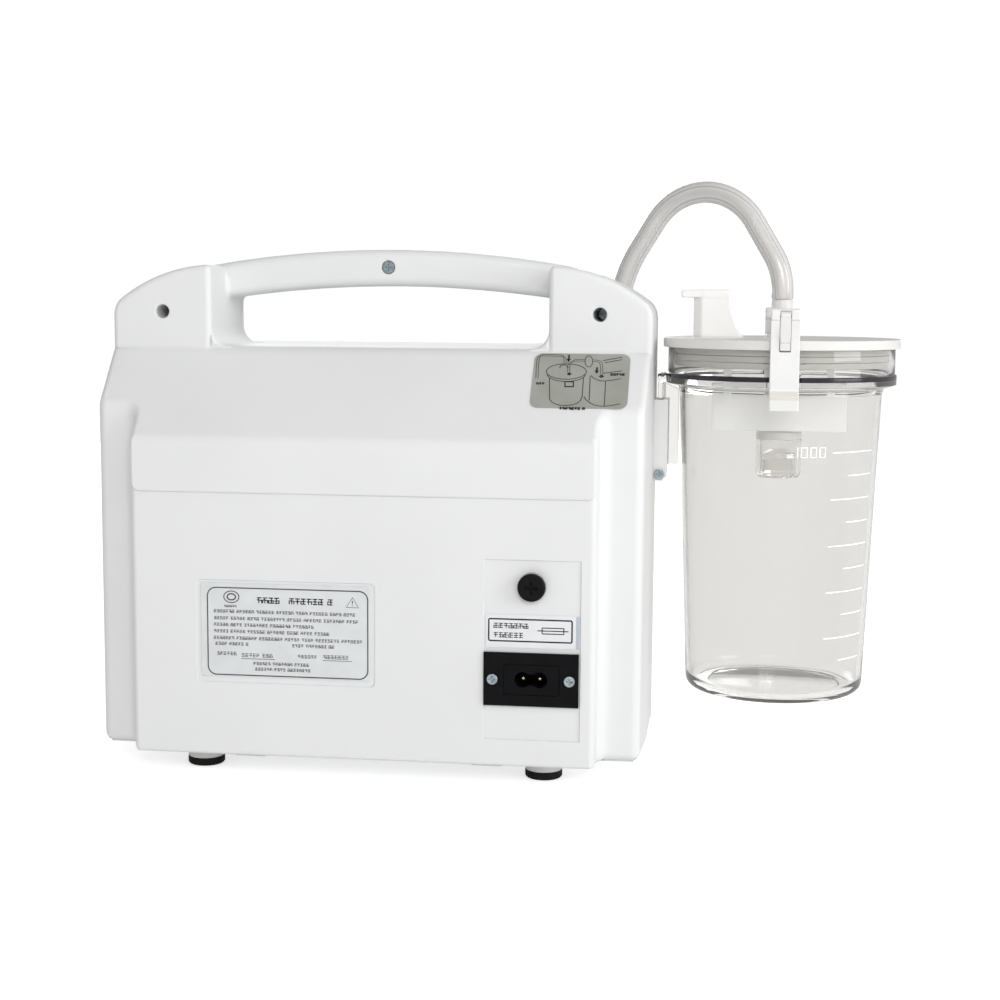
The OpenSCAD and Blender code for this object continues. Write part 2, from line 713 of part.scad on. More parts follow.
module fuse_holder() color([0.85, 0.87, 0.88]) at_fuse() difference() {
  union() {
    cyl_y(inset_y, rear_y + 0.9, 7.4);
    cyl_y(47, inset_y + 0.1, 6.2);
    // nut inside the housing
    cyl_y(inset_y - 6.2, inset_y - 2.2, 8.5);
    box(-2, 2, 42, 47.5, -0.4, 0.4);
  }
  cyl_y(49, rear_y + 2, 5.25);
}
module fuse_cap() {
  bevel = 0.8;
  bevel_y = rear_y + fuse_cap_out - bevel;
  color([0.07, 0.07, 0.07]) at_fuse() difference() {
    union() {
      cyl_y(rear_y + 1, bevel_y, 7);
      translate([0, bevel_y, 0]) rotate([-90, 0, 0]) cylinder(h = bevel, r1 = 7, r2 = 6.2);
      cyl_y(74, rear_y + 1.1, 5.2);
    }
    // cross slot
    box(-3.2, 3.2, rear_y + 3.2, rear_y + 6, -0.6, 0.6);
    box(-0.6, 0.6, rear_y + 3.2, rear_y + 6, -3.2, 3.2);
    cyl_y(73, 77, 3.05);
  }
}
// glass tube between two metal end caps
module fuse() at_fuse() {
  color([0.85, 0.9, 0.9, 0.4]) ring_y(57, 70.5, 2.4, 1.8);
  color([0.78, 0.78, 0.78]) cyl_y(51.5, 57, 2.6);
  color([0.78, 0.78, 0.78]) cyl_y(70.5, 76, 2.6);
}
module fuse_label() color([0.9, 0.92, 0.94]) box(-112.6, -65, inset_y, inset_y + 0.4, 75, 92);
module nameplate() color([0.78, 0.79, 0.8])
  plate_xz(-5.5, 83.4, 55, 104, rear_y - 0.4, rear_y + 0.05, 1.2);
// rounded label lying on the rear slope
module tube_diagram() {
  half = 24.75;
  length = 38;
  r = 4.5;
  t = 0.3;
  low_y = ridge_y + 2.3;
  color([0.7, 0.71, 0.68])
    translate([-108.75, low_y, slope_at(low_y)]) rotate([-slope_a, 0, 0])
      translate([0, 0, 0.03]) {
        box(-half + r, half - r, 0, length, 0, t);
        box(-half, half, r, length - r, 0, t);
        for (x = [-half + r, half - r], y = [r, length - r]) cyl_z(0, t, r, x, y);
      }
}

// ---- motor ----
motor_r = 38;
core_r = 36; // stator core, and inside of the case
shaft_r = 5;
bearing_r = 11;
bearing_w = 7;
bracket_z = 30;

module motor_bracket() color([0.62, 0.64, 0.66]) difference() {
  union() {
    box(-60, 66, -36, 52, bracket_z, bracket_z + 2.5);
    for (x = [6, 42]) box(x, x + 4, motor_y - 30, motor_y + 30, 32, motor_z - 8);
  }
  at_shaft() cyl_x(-70, 80, motor_r);
  at_mounts() cyl_z(29, 34, 3);
  box(12, 40, -20, 36, 29, 34);
}
module rubber_mounts() color([0.1, 0.1, 0.1]) at_mounts() {
  cyl_z(floor_z, bracket_z, 7.5);
  cyl_z(base_z + 0.5, floor_z, 3);
  cyl_z(bracket_z, 35, 3);
}
module motor_case() color([0.6, 0.62, 0.64]) at_shaft() difference() {
  cyl_x(-12, 64, motor_r);
  cyl_x(-6, 58, core_r);
  cyl_x(-13, 65, bearing_r);
  // air windows in the two end faces
  for (turn = [0:60:300]) rotate([turn, 0, 0]) cyl_x(-13, 65, 5, 0, 24);
}
// iron core with the windings standing out at both ends
module motor_stator() color([0.5, 0.32, 0.2]) at_shaft() difference() {
  union() {
    cyl_x(4, 48, core_r);
    cyl_x(-3, 55, 33);
  }
  cyl_x(-4, 56, 23);
}
module motor_bearings() color([0.75, 0.76, 0.78]) at_shaft() for (x = [-12, 57]) difference() {
  cyl_x(x, x + bearing_w, bearing_r);
  cyl_x(x - 1, x + bearing_w + 1, shaft_r + 0.03);
}
module motor_rotor() color([0.68, 0.69, 0.7]) at_shaft() {
  cyl_x(4, 48, 22.4);
  cyl_x(-44, 88, shaft_r);
}
module cooling_fan() color([0.2, 0.2, 0.22]) at_shaft() difference() {
  union() {
    cyl_x(72, 86, 9);
    // seven pitched blades
    for (i = [0:6]) translate([79, 0, 0]) rotate([i * 51.43, 0, 0]) rotate([0, 0, 35])
      box(-6, 6, -0.8, 0.8, 7, 33);
  }
  cyl_x(71, 87, shaft_r);
}

// ---- diaphragm pump ----
crank_r = 12;
// joints of the pump stack, from the bottom up
pump_z = 125;
joint_z = 139; // body to valve plate
valve_z = 146; // valve plate to head
head_z = 160;
diaphragm_z = joint_z - 2;
pump_r = 36;
chamber_r = 26;
diaphragm_r = 28.8;
bolt_ring_r = 32.2;
bolt_r = 1.75;
valve_off = 12; // each valve from the pump axis
head_barb_off = 16;

module at_bolts() for (turn = [45:90:315])
  translate([bolt_ring_r * cos(turn), bolt_ring_r * sin(turn), 0]) children();
module bolt_holes(z0, z1) at_bolts() cyl_z(z0, z1, bolt_r + 0.02);

// Crank disc with its counterweight, set with the throw straight up.
module eccentric() color([0.7, 0.7, 0.72]) at_shaft() difference() {
  union() {
    cyl_x(-41, -27, crank_r, 0, throw);
    cyl_x(-27, -19, 9);
    intersection() {
      cyl_x(-26, -19, 24);
      box(-30, -10, -30, 30, -30, -2);
    }
  }
  cyl_x(-45, -18, shaft_r);
}
module con_rod() color([0.8, 0.8, 0.82]) difference() {
  union() {
    at_shaft() cyl_x(-40, -28.5, 17, 0, throw);
    at_head() box(-4, 4, -5, 5, motor_z + throw + 13, 135);
    at_head() cyl_z(134, diaphragm_z, 15);
  }
  at_shaft() cyl_x(-42, -27, crank_r + 0.04, 0, throw);
  at_head() cyl_z(125, 138, 2);
}
module diaphragm() color([0.12, 0.12, 0.12])
  at_head() ring_z(diaphragm_z, joint_z, diaphragm_r, 2.2);
// plate over the diaphragm with its stud into the connecting rod
module clamp_plate() color([0.75, 0.75, 0.77]) at_head() {
  cyl_z(joint_z, 141.5, 15);
  cyl_z(126, 139.5, 1.98);
}
module pump_body() color(cast_grey) difference() {
  union() {
    at_head() cyl_z(pump_z, joint_z, pump_r);
    // upright web beside the motor
    box(-16, -12, motor_y - 22, motor_y + 22, 52, 126);
  }
  at_head() cyl_z(pump_z - 1, 138, chamber_r);
  at_head() cyl_z(diaphragm_z, joint_z + 1, diaphragm_r);
  at_shaft() cyl_x(-17, -11, 13);
  at_head() bolt_holes(pump_z - 1, joint_z + 1);
}
module valve_plate() color([0.7, 0.71, 0.73]) at_head() difference() {
  cyl_z(joint_z, valve_z, pump_r);
  cyl_z(joint_z - 1, 143, chamber_r);
  for (side = [-1, 1]) cyl_z(142, valve_z + 1, 3, side * valve_off);
  bolt_holes(joint_z - 1, valve_z + 1);
}
module flap_valves() color([0.1, 0.1, 0.1])
  at_head() for (side = [-1, 1]) cyl_z(valve_z, valve_z + 0.8, 6, side * valve_off);
module pump_head() color(cast_grey) at_head() difference() {
  union() {
    cyl_z(valve_z, head_z, pump_r);
    for (side = [-1, 1]) cyl_z(head_z - 1, 172, barb_r, side * head_barb_off);
    // fins
    for (i = [-3:3]) box(i * 8 - 1, i * 8 + 1, 9, 18.5, head_z - 1, 164);
  }
  for (side = [-1, 1]) cyl_z(valve_z - 1, 154, 10, side * 14);
  for (side = [-1, 1]) cyl_z(150, 173, barb_bore_r, side * head_barb_off);
  bolt_holes(valve_z - 1, 165);
}
module head_screws() color(screw_grey)
  at_head() at_bolts() translate([0, 0, head_z]) screw(3.2, 2.4, bolt_r, 34);

// ---- electrical parts ----
module run_capacitor() color([0.85, 0.85, 0.86]) translate([112, -14, 0]) {
  cyl_z(floor_z, 70, 15);
  for (side = [-1, 1]) box(side * 5 - 3, side * 5 + 3, -0.4, 0.4, 69, 77);
}
module wires() {
  pin_tail_y = 53.9;
  right_pin_x = inlet_x + pin_off;
  left_pin_x = inlet_x - pin_off;
  tab_left_x = switch_x - 6.6;
  tab_right_x = switch_x + 1.4;
  tab_y = -55.9;
  front_run_y = -50;
  low_z = 22;
  motor_entry_z = motor_z + 14;
  fuse_tab_y = 44.5;
  high_z = 121;
  inlet_to_switch = [
    [right_pin_x, pin_tail_y, inlet_z], [right_pin_x, 48, inlet_z],
    [right_pin_x, 48, low_z], [right_pin_x, front_run_y, low_z],
    [tab_left_x, front_run_y, low_z], [tab_left_x, front_run_y, switch_z],
    [tab_left_x, tab_y, switch_z]
  ];
  inlet_to_fuse = [
    [left_pin_x, pin_tail_y, inlet_z], [left_pin_x, 38, inlet_z], [left_pin_x, 38, fuse_z],
    [left_pin_x, fuse_tab_y, fuse_z], [fuse_x - 2.1, fuse_tab_y, fuse_z]
  ];
  switch_to_motor = [
    [tab_right_x, tab_y, switch_z], [tab_right_x, front_run_y, switch_z],
    [tab_right_x, front_run_y, motor_entry_z], [30, front_run_y, motor_entry_z],
    [30, -28.2, motor_entry_z]
  ];
  fuse_to_motor = [
    [fuse_x + 2.1, fuse_tab_y, fuse_z], [-80, fuse_tab_y, fuse_z], [-80, fuse_tab_y, high_z],
    [30, fuse_tab_y, high_z], [30, 20, high_z], [30, 20, 114.8]
  ];
  color([0.15, 0.15, 0.2])
    for (route = [inlet_to_switch, inlet_to_fuse, switch_to_motor, fuse_to_motor])
      bent_bar(route, 1.3);
}

// ---- collection jar: everything here is drawn about the jar axis ----
jar_corner_r = 7;
hook_x = 65.2; // outer face of the hook
patient_x = -2.7;
patient_y = -38.6;
spigot_r = 5.6;
hinge_y = 63.9;
hinge_z = 242.3;
seal_z0 = 218.5;
seal_z1 = 221.5;
seal_inner_r = 55.4;
holder_z = 176; // joint between float holder and float cup

// half section of the jar: radius, height
module jar_section() {
  inner_low = jar_r_low - jar_wall;
  inner_top = jar_r_top - jar_wall;
  corner_x = jar_r_low - jar_corner_r;
  difference() {
    union() {
      polygon([
        [0, jar_bottom], [corner_x, jar_bottom], [jar_r_low, jar_bottom + jar_corner_r],
        [jar_r_top, 201], [jar_r_top + 1, 204], [61, 206], [61, 210.7], [60, 211.2],
        [60, lid_z], [0, lid_z]
      ]);
      translate([corner_x, jar_bottom + jar_corner_r]) circle(r = jar_corner_r);
    }
    polygon([
      [-1, jar_bottom + 3], [inner_low - 5, jar_bottom + 3], [inner_low, jar_bottom + 8],
      [inner_top, 201], [inner_top + 0.5, 209.2], [57.5, 209.2], [57.5, lid_z + 1],
      [-1, lid_z + 1]
    ]);
    // shallow hollow under the bottom
    polygon([
      [-1, jar_bottom - 1], [36, jar_bottom - 1], [35, jar_bottom + 0.8], [-1, jar_bottom + 0.8]
    ]);
  }
}
module jar() color(clear_plastic) at_jar() difference() {
  union() {
    rotate_extrude() jar_section();
    // fin and top plate of the hook, cut back to the jar wall
    difference() {
      union() {
        box(50.5, 63.5, -2, 2, 161, 207);
        box(55, hook_x, -9, 9, 206, 210.7);
      }
      rotate_extrude() polygon([
        [0, 150], [50.3, 150], [jar_r_top - 1, 201], [jar_r_top - 1, 206],
        [58, 207], [58, 212], [0, 212]
      ]);
    }
    // crosswise plate of the hook
    box(62.4, hook_x, -9, 9, 161, 210);
  }
  // notches in the flange that the two latches pass
  for (y0 = [-70, 50]) difference() {
    box(-8.5, 8.5, y0, y0 + 20, 205.5, 211.3);
    cyl_z(205, 212, 60);
  }
}
module lid() color([0.92, 0.91, 0.88]) at_jar() difference() {
  union() {
    cyl_z(lid_z, lid_top, lid_r);
    // skirt with the seal groove
    difference() {
      cyl_z(215, lid_z + 1, 56.9);
      cyl_z(214, lid_z, 52);
      ring_z(seal_z0, seal_z1, 58, seal_inner_r);
    }
    // central vacuum port: thick neck and hose spigot
    cyl_z(lid_top - 1, lid_top + 2, 8.5);
    cyl_z(lid_top, lid_end_z - 0.1, spigot_r);
    cyl_z(lid_end_z - 0.2, lid_bend_z - 0.3, 3.62);
    // seat for the float holder under the lid
    cyl_z(219, lid_z + 1, 10);
    // patient port with its shoulder, and its drip tube
    cyl_z(lid_top - 1, lid_top + 3, 7, patient_x, patient_y);
    cyl_z(lid_top, lid_top + 15, 4, patient_x, patient_y);
    cyl_z(204, lid_z + 1, 4.5, patient_x, patient_y);
    // lifting grip on the side next to the housing
    extrude_y(-10, 10) difference() {
      polygon([
        [18, lid_top - 1], [18, 251.3], [27.4, 251.3], [27.4, 255.3],
        [53.5, 255.3], [53.5, 251.3], [46.8, 251.3], [46.8, lid_top - 1]
      ]);
      translate([-7, 251.3]) circle(r = 34.4, $fn = 96);
    }
    // hinge lugs for the latches
    at_latches() {
      box(-2.6, 2.6, 55, 66, lid_z, lid_top + 0.5);
      box(-2.6, 2.6, 61.5, 66.4, lid_top - 1, hinge_z);
      cyl_x(-2.6, 2.6, 2.6, hinge_y, hinge_z);
    }
  }
  cyl_z(210, 258, 2.2);
  cyl_z(200, 250, 2.4, patient_x, patient_y);
  // thread bore for the float holder
  cyl_z(218, 224, 7.1);
  at_latches() cyl_x(-3, 3, 1, hinge_y, hinge_z);
}
module lid_seal() color([0.8, 0.8, 0.78]) at_jar() ring_z(seal_z0, seal_z1, 57.45, seal_inner_r);
// upright plate hung from the lid on two legs
module splash_baffle() color([0.93, 0.94, 0.95]) at_jar() {
  box(-34.2, 35.8, 13, 15, 181, 205);
  for (x = [-28, 26]) {
    box(x, x + 4, 13, 15, 204, lid_z);
    box(x, x + 4, 10, 18, 222, lid_z);
  }
}
module float_holder() color([0.93, 0.93, 0.92]) at_jar() difference() {
  union() {
    cyl_z(holder_z, 180.5, 12.25);
    cyl_z(180, 224, 7);
    cyl_z(180, 219, 8.6);
  }
  cyl_z(holder_z - 1, 225, 2.4);
  cyl_z(holder_z - 1, holder_z + 2, 10.4);
}
module float_cup() color(clear_plastic) at_jar() difference() {
  union() {
    cyl_z(157.5, holder_z, 12.2);
    cyl_z(155.5, 158, 11);
    translate([0, 0, 157.5]) mirror([0, 0, 1]) cylinder(h = 2, r1 = 12.2, r2 = 10.6);
    cyl_z(holder_z - 0.1, holder_z + 2, 10.35);
  }
  cyl_z(157, 179, 9.6);
  // ring of holes in the floor
  for (turn = [0:60:300]) cyl_z(150, 158, 1.6, 6 * cos(turn), 6 * sin(turn));
}
module float() color([0.9, 0.5, 0.2]) at_jar() difference() {
  union() {
    cyl_z(158, 168, 9.2);
    translate([0, 0, 168]) cylinder(h = 2.4, r1 = 9.2, r2 = 3.5);
  }
  cyl_z(157, 166, 7.6);
}
// Over-centre latch for one side, hanging from its pin on the lid's lug.
module latch_shape() {
  half = 7.3;
  difference() {
    union() {
      box(-half, half, 63.1, 65.3, 203, 240);
      box(-half, half, 61.5, 66.3, 239.5, 246);
      // catch under the jar's flange, with its finger tab
      extrude_x(-half, half) polygon([
        [60.4, 201.2], [60.4, 205.4], [63.2, 205.6], [65.3, 203.2],
        [65.3, 201], [68.2, 195], [66.4, 195], [63.2, 200.6]
      ]);
      extrude_x(-half, half) polygon([[65.2, 232], [66.3, 239.6], [65.2, 239.6]]);
    }
    box(-2.8, 2.8, 58, 70, 224.3, 245.3);
    cyl_x(-8, 8, 1.05, hinge_y, hinge_z);
  }
}
module latch_rear() color(latch_white) at_jar() latch_shape();
module latch_front() color(latch_white) at_jar() rotate([0, 0, 180]) latch_shape();
module latch_pins() color([0.8, 0.8, 0.82])
  at_jar() at_latches() cyl_x(-6.9, 6.9, 1, hinge_y, hinge_z);

// ---- vacuum hose ----
// Stations along the hose: distance along the plan line, height, and lean from
// upright (0 going up, 180 coming down).
hose_path = concat(
  [[0, pump_end_z, 0], [0, (pump_end_z + pump_bend_z) / 2, 0]],
  [for (i = [0:6]) let (a = pump_lean * i / 6)
    [pump_bend_r * (1 - cos(a)), pump_bend_z + pump_bend_r * sin(a), a]],
  [for (i = [0:14]) let (a = pump_lean + (180 - pump_lean - lid_lean) * i / 14)
    [top_along - top_bend_r * cos(a), top_z + top_bend_r * sin(a), a]],
  [for (i = [0:5]) let (a = lid_lean * (1 - i / 5))
    [hose_span - lid_bend_r * (1 - cos(a)), lid_bend_z + lid_bend_r * sin(a), 180 - a]],
  [[hose_span, lid_end_z, 180]]
);
hose_sides = 20;
// points of one hose wall, a ring at each station
function hose_rings(r) = [
  for (station = hose_path, j = [0:hose_sides - 1]) let (t = 360 * j / hose_sides) [
    station[0] + r * cos(t) * cos(station[2]),
    r * sin(t),
    station[1] - r * cos(t) * sin(station[2])
  ]
];
module suction_hose() {
  n = hose_sides;
  last = (len(hose_path) - 1) * n; // first point of the last outer ring
  inner = len(hose_path) * n; // first point of the inner wall
  color([0.85, 0.87, 0.88, 0.4]) at_port() rotate([0, 0, hose_turn]) polyhedron(
    points = concat(hose_rings(hose_od / 2), hose_rings(hose_id / 2)),
    faces = concat(
      // outer wall, inner wall, pump end, lid end
      [for (i = [0:n:last - n], j = [0:n - 1]) let (k = (j + 1) % n)
        [i + j, i + n + j, i + n + k, i + k]],
      [for (i = [inner:n:inner + last - n], j = [0:n - 1]) let (k = (j + 1) % n)
        [i + j, i + k, i + n + k, i + n + j]],
      [for (j = [0:n - 1]) let (k = (j + 1) % n) [inner + j, j, k, inner + k]],
      [for (j = [0:n - 1]) let (k = (j + 1) % n)
        [last + j, inner + last + j, inner + last + k, last + k]]
    ),
    convexity = 6
  );
}

place() rear_shell();
place() front_shell();
place() base_plate();
place() foot_cups();
place() foot_pads();
place() foot_screws();
place() case_screws();
place() handle_screw();
place() jar_bracket();
place() panel_screws();
place() front_panel();
place() gauge_case();
place() gauge_dial();
place() gauge_lens();
place() gauge_bezel();
place() gauge_needle();
place() switch_frame();
place() switch_rocker();
place() regulator_valve();
place() regulator_knob();
place() pump_port();
place() tube_cross();
place() inner_tubes();
place() power_inlet();
place() inlet_pins();
place() fuse_holder();
place() fuse_cap();
place() fuse();
place() fuse_label();
place() nameplate();
place() tube_diagram();
place() motor_bracket();
place() rubber_mounts();
place() motor_case();
place() motor_stator();
place() motor_bearings();
place() motor_rotor();
place() cooling_fan();
place() eccentric();
place() con_rod();
place() diaphragm();
place() clamp_plate();
place() pump_body();
place() valve_plate();
place() flap_valves();
place() pump_head();
place() head_screws();
place() run_capacitor();
place() wires();
place() jar();
place() lid();
place() lid_seal();
place() splash_baffle();
place() float_holder();
place() float_cup();
place() float();
place() latch_rear();
place() latch_front();
place() latch_pins();
place() suction_hose();
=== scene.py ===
# A portable suction pump: a box-shaped housing with a carrying grip, and a clear collection jar
# with a clip-on lid beside it, joined to the housing by a hose.
# Lengths are millimetres in a drawing frame whose origin lies on the floor under the middle of
# the housing. The jar stands at -X. The rear of the housing, with the power inlet and nameplate,
# faces +Y. The front, with the gauge and switch, faces -Y. +Z is up.
import math
from functools import reduce
from itertools import product

import bmesh
import bpy
import numpy as np
from mathutils import Matrix, Vector


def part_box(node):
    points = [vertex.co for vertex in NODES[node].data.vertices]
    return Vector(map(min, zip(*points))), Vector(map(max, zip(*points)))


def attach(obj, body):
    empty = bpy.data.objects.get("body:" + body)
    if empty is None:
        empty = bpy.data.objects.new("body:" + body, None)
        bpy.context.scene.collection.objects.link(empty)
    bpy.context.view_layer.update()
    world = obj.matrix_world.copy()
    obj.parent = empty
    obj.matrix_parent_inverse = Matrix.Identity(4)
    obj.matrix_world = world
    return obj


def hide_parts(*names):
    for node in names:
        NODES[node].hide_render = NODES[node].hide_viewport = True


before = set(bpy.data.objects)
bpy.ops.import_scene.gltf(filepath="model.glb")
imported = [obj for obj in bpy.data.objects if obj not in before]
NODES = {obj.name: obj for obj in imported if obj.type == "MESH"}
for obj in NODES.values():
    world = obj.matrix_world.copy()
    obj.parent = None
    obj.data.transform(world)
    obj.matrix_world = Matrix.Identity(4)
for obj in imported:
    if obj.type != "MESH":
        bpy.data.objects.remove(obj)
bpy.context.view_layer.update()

SHELL_COARSEN = 1.0
PART_COARSEN = 1.0

# origin of the drawing frame, in metres
cups_low, cups_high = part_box("foot_cups")
ORIGIN_X = (cups_low.x + cups_high.x) / 2
ORIGIN_Y = (cups_low.y + cups_high.y) / 2

# housing
HALF_WIDTH = 144.5
WALL = 2.8
BOTTOM_Z, TOP_Z = 13.5, 224
PARTING_Y = -22.5              # where the two shells meet
REAR_Y = 82.5
SLOPE_Z = 179                  # the slope of the rear face starts at this height
SLOPE_SIN, SLOPE_COS = 0.6992, 0.7149
SHOULDER_SCREW = (117, 242)    # distance from the middle, height
HANDLE_SCREW = (0, 266.3)
BASE_SCREW_Y = 72.5            # distance from the middle, towards front and rear
REAR_BASE_SCREW_X, FRONT_BASE_SCREW_X = 100, 60
HOSE_PORT = (-121.0, -52.5)    # x, y of the port in the top of the front shell

# centres (x, z) of what sits in the front panel
GAUGE = (-28, 150)
REGULATOR = (46, 150)
SWITCH = (46, 78)

# jar and lid
JAR_X, JAR_Y = -211.3, -8.9
PIVOT = (63.9, 242.3)          # latch pins: distance from the jar axis, height
LATCH_HALF = 7.3

scene = bpy.context.scene
coll = scene.collection


# ---------------------------------------------------------------- shader helpers
def node(tree, kind, inputs=None, **settings):
    """Adds a shader node. An input takes a value, a socket, or a node's first output."""
    new = tree.nodes.new("ShaderNode" + kind)
    for key, value in settings.items():
        setattr(new, key, value)
    for key, value in (inputs or {}).items():
        if isinstance(value, bpy.types.Node):
            value = value.outputs[0]
        if isinstance(value, bpy.types.NodeSocket):
            tree.links.new(value, new.inputs[key])
        else:
            new.inputs[key].default_value = value
    return new


def noise(tree, vector, scale, detail, roughness=0.5):
    return node(tree, "TexNoise", {"Vector": vector, "Scale": scale, "Detail": detail,
                                   "Roughness": roughness}).outputs["Fac"]


def map_range(tree, value, to_min, to_max, from_min=0.0, from_max=1.0):
    return node(tree, "MapRange", {"Value": value, "From Min": from_min, "From Max": from_max,
                                   "To Min": to_min, "To Max": to_max})


def mix_color(tree, factor, first, second, **settings):
    return node(tree, "Mix", {"Factor": factor, "A": first, "B": second},
                data_type="RGBA", **settings).outputs["Result"]


def mix_shader(tree, factor, first, second):
    return node(tree, "MixShader", {0: factor, 1: first, 2: second})


def math_node(tree, operation, *values):
    return node(tree, "Math", dict(enumerate(values)), operation=operation)


def new_material(name):
    material = bpy.data.materials.new(name)
    material.use_nodes = True
    material.node_tree.nodes.clear()
    return material, material.node_tree


# ---------------------------------------------------------------- materials
def plastic(name, color, rough=0.45, spec=0.45, grain=1500.0, bump=0.00002, vary=0.03, tint=None,
            metal=0.0, coat=0.0, stretch=None, rvary=0.08, mottle=40.0, subsurf=0.0, painted_crease_shade=0.0,
            painted_glow=0.0):
    """Opaque finish: slow tone variation, and fine grain in roughness and height.

    grain and mottle are noise scales, bump is the grain's height in metres, vary darkens the
    second tone unless tint gives it, rvary spreads the roughness, dirt paints shade into crevices.
    """
    material, tree = new_material(name)
    coords = node(tree, "TexCoord").outputs["Object"]
    mapping = node(tree, "Mapping", {"Vector": coords})
    if stretch:
        mapping.inputs["Scale"].default_value = stretch
    slow = noise(tree, coords, mottle, 3)
    fine = noise(tree, mapping, grain, 4, roughness=0.6)
    second = tint or [min(1, c * (1 - vary)) for c in color]
    tone = map_range(tree, slow, 0.0, 1.0, from_min=0.35, from_max=0.65)
    base = mix_color(tree, tone, (*color, 1), (*second, 1))
    if painted_crease_shade > 0:
        # painted shade: ambient occlusion darkens the crevices and hollows towards grey
        occlusion = node(tree, "AmbientOcclusion", {"Distance": 0.004}, samples=4).outputs["AO"]
        shade_mask = map_range(tree, occlusion, painted_crease_shade, 0.0, from_min=0.35, from_max=0.9)
        base = mix_color(tree, shade_mask, base, (0.45, 0.44, 0.42, 1), blend_type="MULTIPLY")
    roughness = map_range(tree, fine, max(0.02, rough - rvary), min(1.0, rough + rvary))
    surface = node(tree, "BsdfPrincipled", {
        "Base Color": base, "Roughness": roughness, "Metallic": metal,
        "Normal": node(tree, "Bump", {"Distance": bump, "Height": fine}),
        "Specular IOR Level": spec, "Coat Weight": coat})
    if subsurf > 0:
        surface.inputs["Subsurface Weight"].default_value = subsurf
        surface.inputs["Subsurface Scale"].default_value = 0.004
    # painted light: the base colour glows, though the part is no lamp
    if painted_glow > 0:
        tree.links.new(base, surface.inputs["Emission Color"])
        surface.inputs["Emission Strength"].default_value = painted_glow
    node(tree, "OutputMaterial", {0: surface})
    material.diffuse_color = (*color, 1)
    return material


def clear(name, color, ior, rough, wave=30.0, wave_h=0.00004, haze=0.0,
          haze_color=(0.9, 0.9, 0.88), shadow=0.9, vary=0.02):
    """Clear plastic or glass: slow waviness, faint haze, and light let through for shadows.

    wave is a noise scale, wave_h its height in metres, shadow the share of light let through.
    """
    material, tree = new_material(name)
    coords = node(tree, "TexCoord").outputs["Object"]
    slow = noise(tree, coords, wave, 2)
    fine = noise(tree, coords, 900, 3)
    surface = node(tree, "BsdfPrincipled", {
        "Base Color": mix_color(tree, slow, (*color, 1), (*[c * (1 - vary) for c in color], 1)),
        "Roughness": map_range(tree, fine, max(0.0, rough * 0.6), rough * 1.4 + 0.001),
        "Normal": node(tree, "Bump", {"Distance": wave_h, "Height": slow}),
        "Transmission Weight": 1.0, "IOR": ior, "Specular IOR Level": 0.5})
    if haze > 0:
        diffuse = node(tree, "BsdfDiffuse", {"Color": (*haze_color, 1)})
        amount = map_range(tree, fine, haze * 0.7, haze * 1.3)
        surface = mix_shader(tree, amount, surface, diffuse)
    through = node(tree, "BsdfTransparent", {"Color": (*[shadow * c for c in color], 1)})
    path = node(tree, "LightPath").outputs
    passes = math_node(tree, "MAXIMUM", path["Is Shadow Ray"], path["Is Diffuse Ray"])
    node(tree, "OutputMaterial", {0: mix_shader(tree, passes, surface, through)})
    material.diffuse_color = (*color, 0.3)
    return material


# painted light and shade on the hose, a grey against the angle to the eye: position (0 is face on),
# red, green, blue
HOSE_PAINTED_TONES = [
    (0.0, 0.72, 0.705, 0.69), (0.1, 0.60, 0.585, 0.575), (0.17, 0.70, 0.685, 0.675),
    (0.25, 0.45, 0.435, 0.43), (0.32, 0.74, 0.73, 0.72), (0.48, 0.63, 0.615, 0.605),
    (0.62, 0.70, 0.69, 0.68), (0.74, 0.50, 0.485, 0.49), (1.0, 0.17, 0.165, 0.17)]


def hose_material():
    """Cloudy soft tubing, with painted light and shade. Its tone follows the angle to the eye,
    which draws painted dark edges of the bore and of the outside, and painted highlights between
    them, along the whole curve."""
    material, tree = new_material("hose_pvc")
    coords = node(tree, "TexCoord").outputs["Object"]
    facing = node(tree, "LayerWeight", {"Blend": 0.5}).outputs["Facing"]
    slow = noise(tree, coords, 38, 1)
    # the noise shifts the tones by up to 0.08 either way
    jitter = math_node(tree, "MULTIPLY_ADD", slow, 0.16, facing)
    ramp = node(tree, "ValToRGB", {0: math_node(tree, "SUBTRACT", jitter, 0.08)})
    stops = ramp.color_ramp.elements
    for stop, (position, *tone) in zip(stops, (HOSE_PAINTED_TONES[0], HOSE_PAINTED_TONES[-1])):
        stop.position = position
        stop.color = (*tone, 1)
    for position, *tone in HOSE_PAINTED_TONES[1:-1]:
        stops.new(position).color = (*tone, 1)
    surface = node(tree, "BsdfPrincipled", {
        "Base Color": ramp, "Specular IOR Level": 0.6,
        "Roughness": map_range(tree, noise(tree, coords, 900, 2), 0.16, 0.26)})
    node(tree, "OutputMaterial", {0: surface})
    material.diffuse_color = (0.8, 0.79, 0.78, 1)
    return material
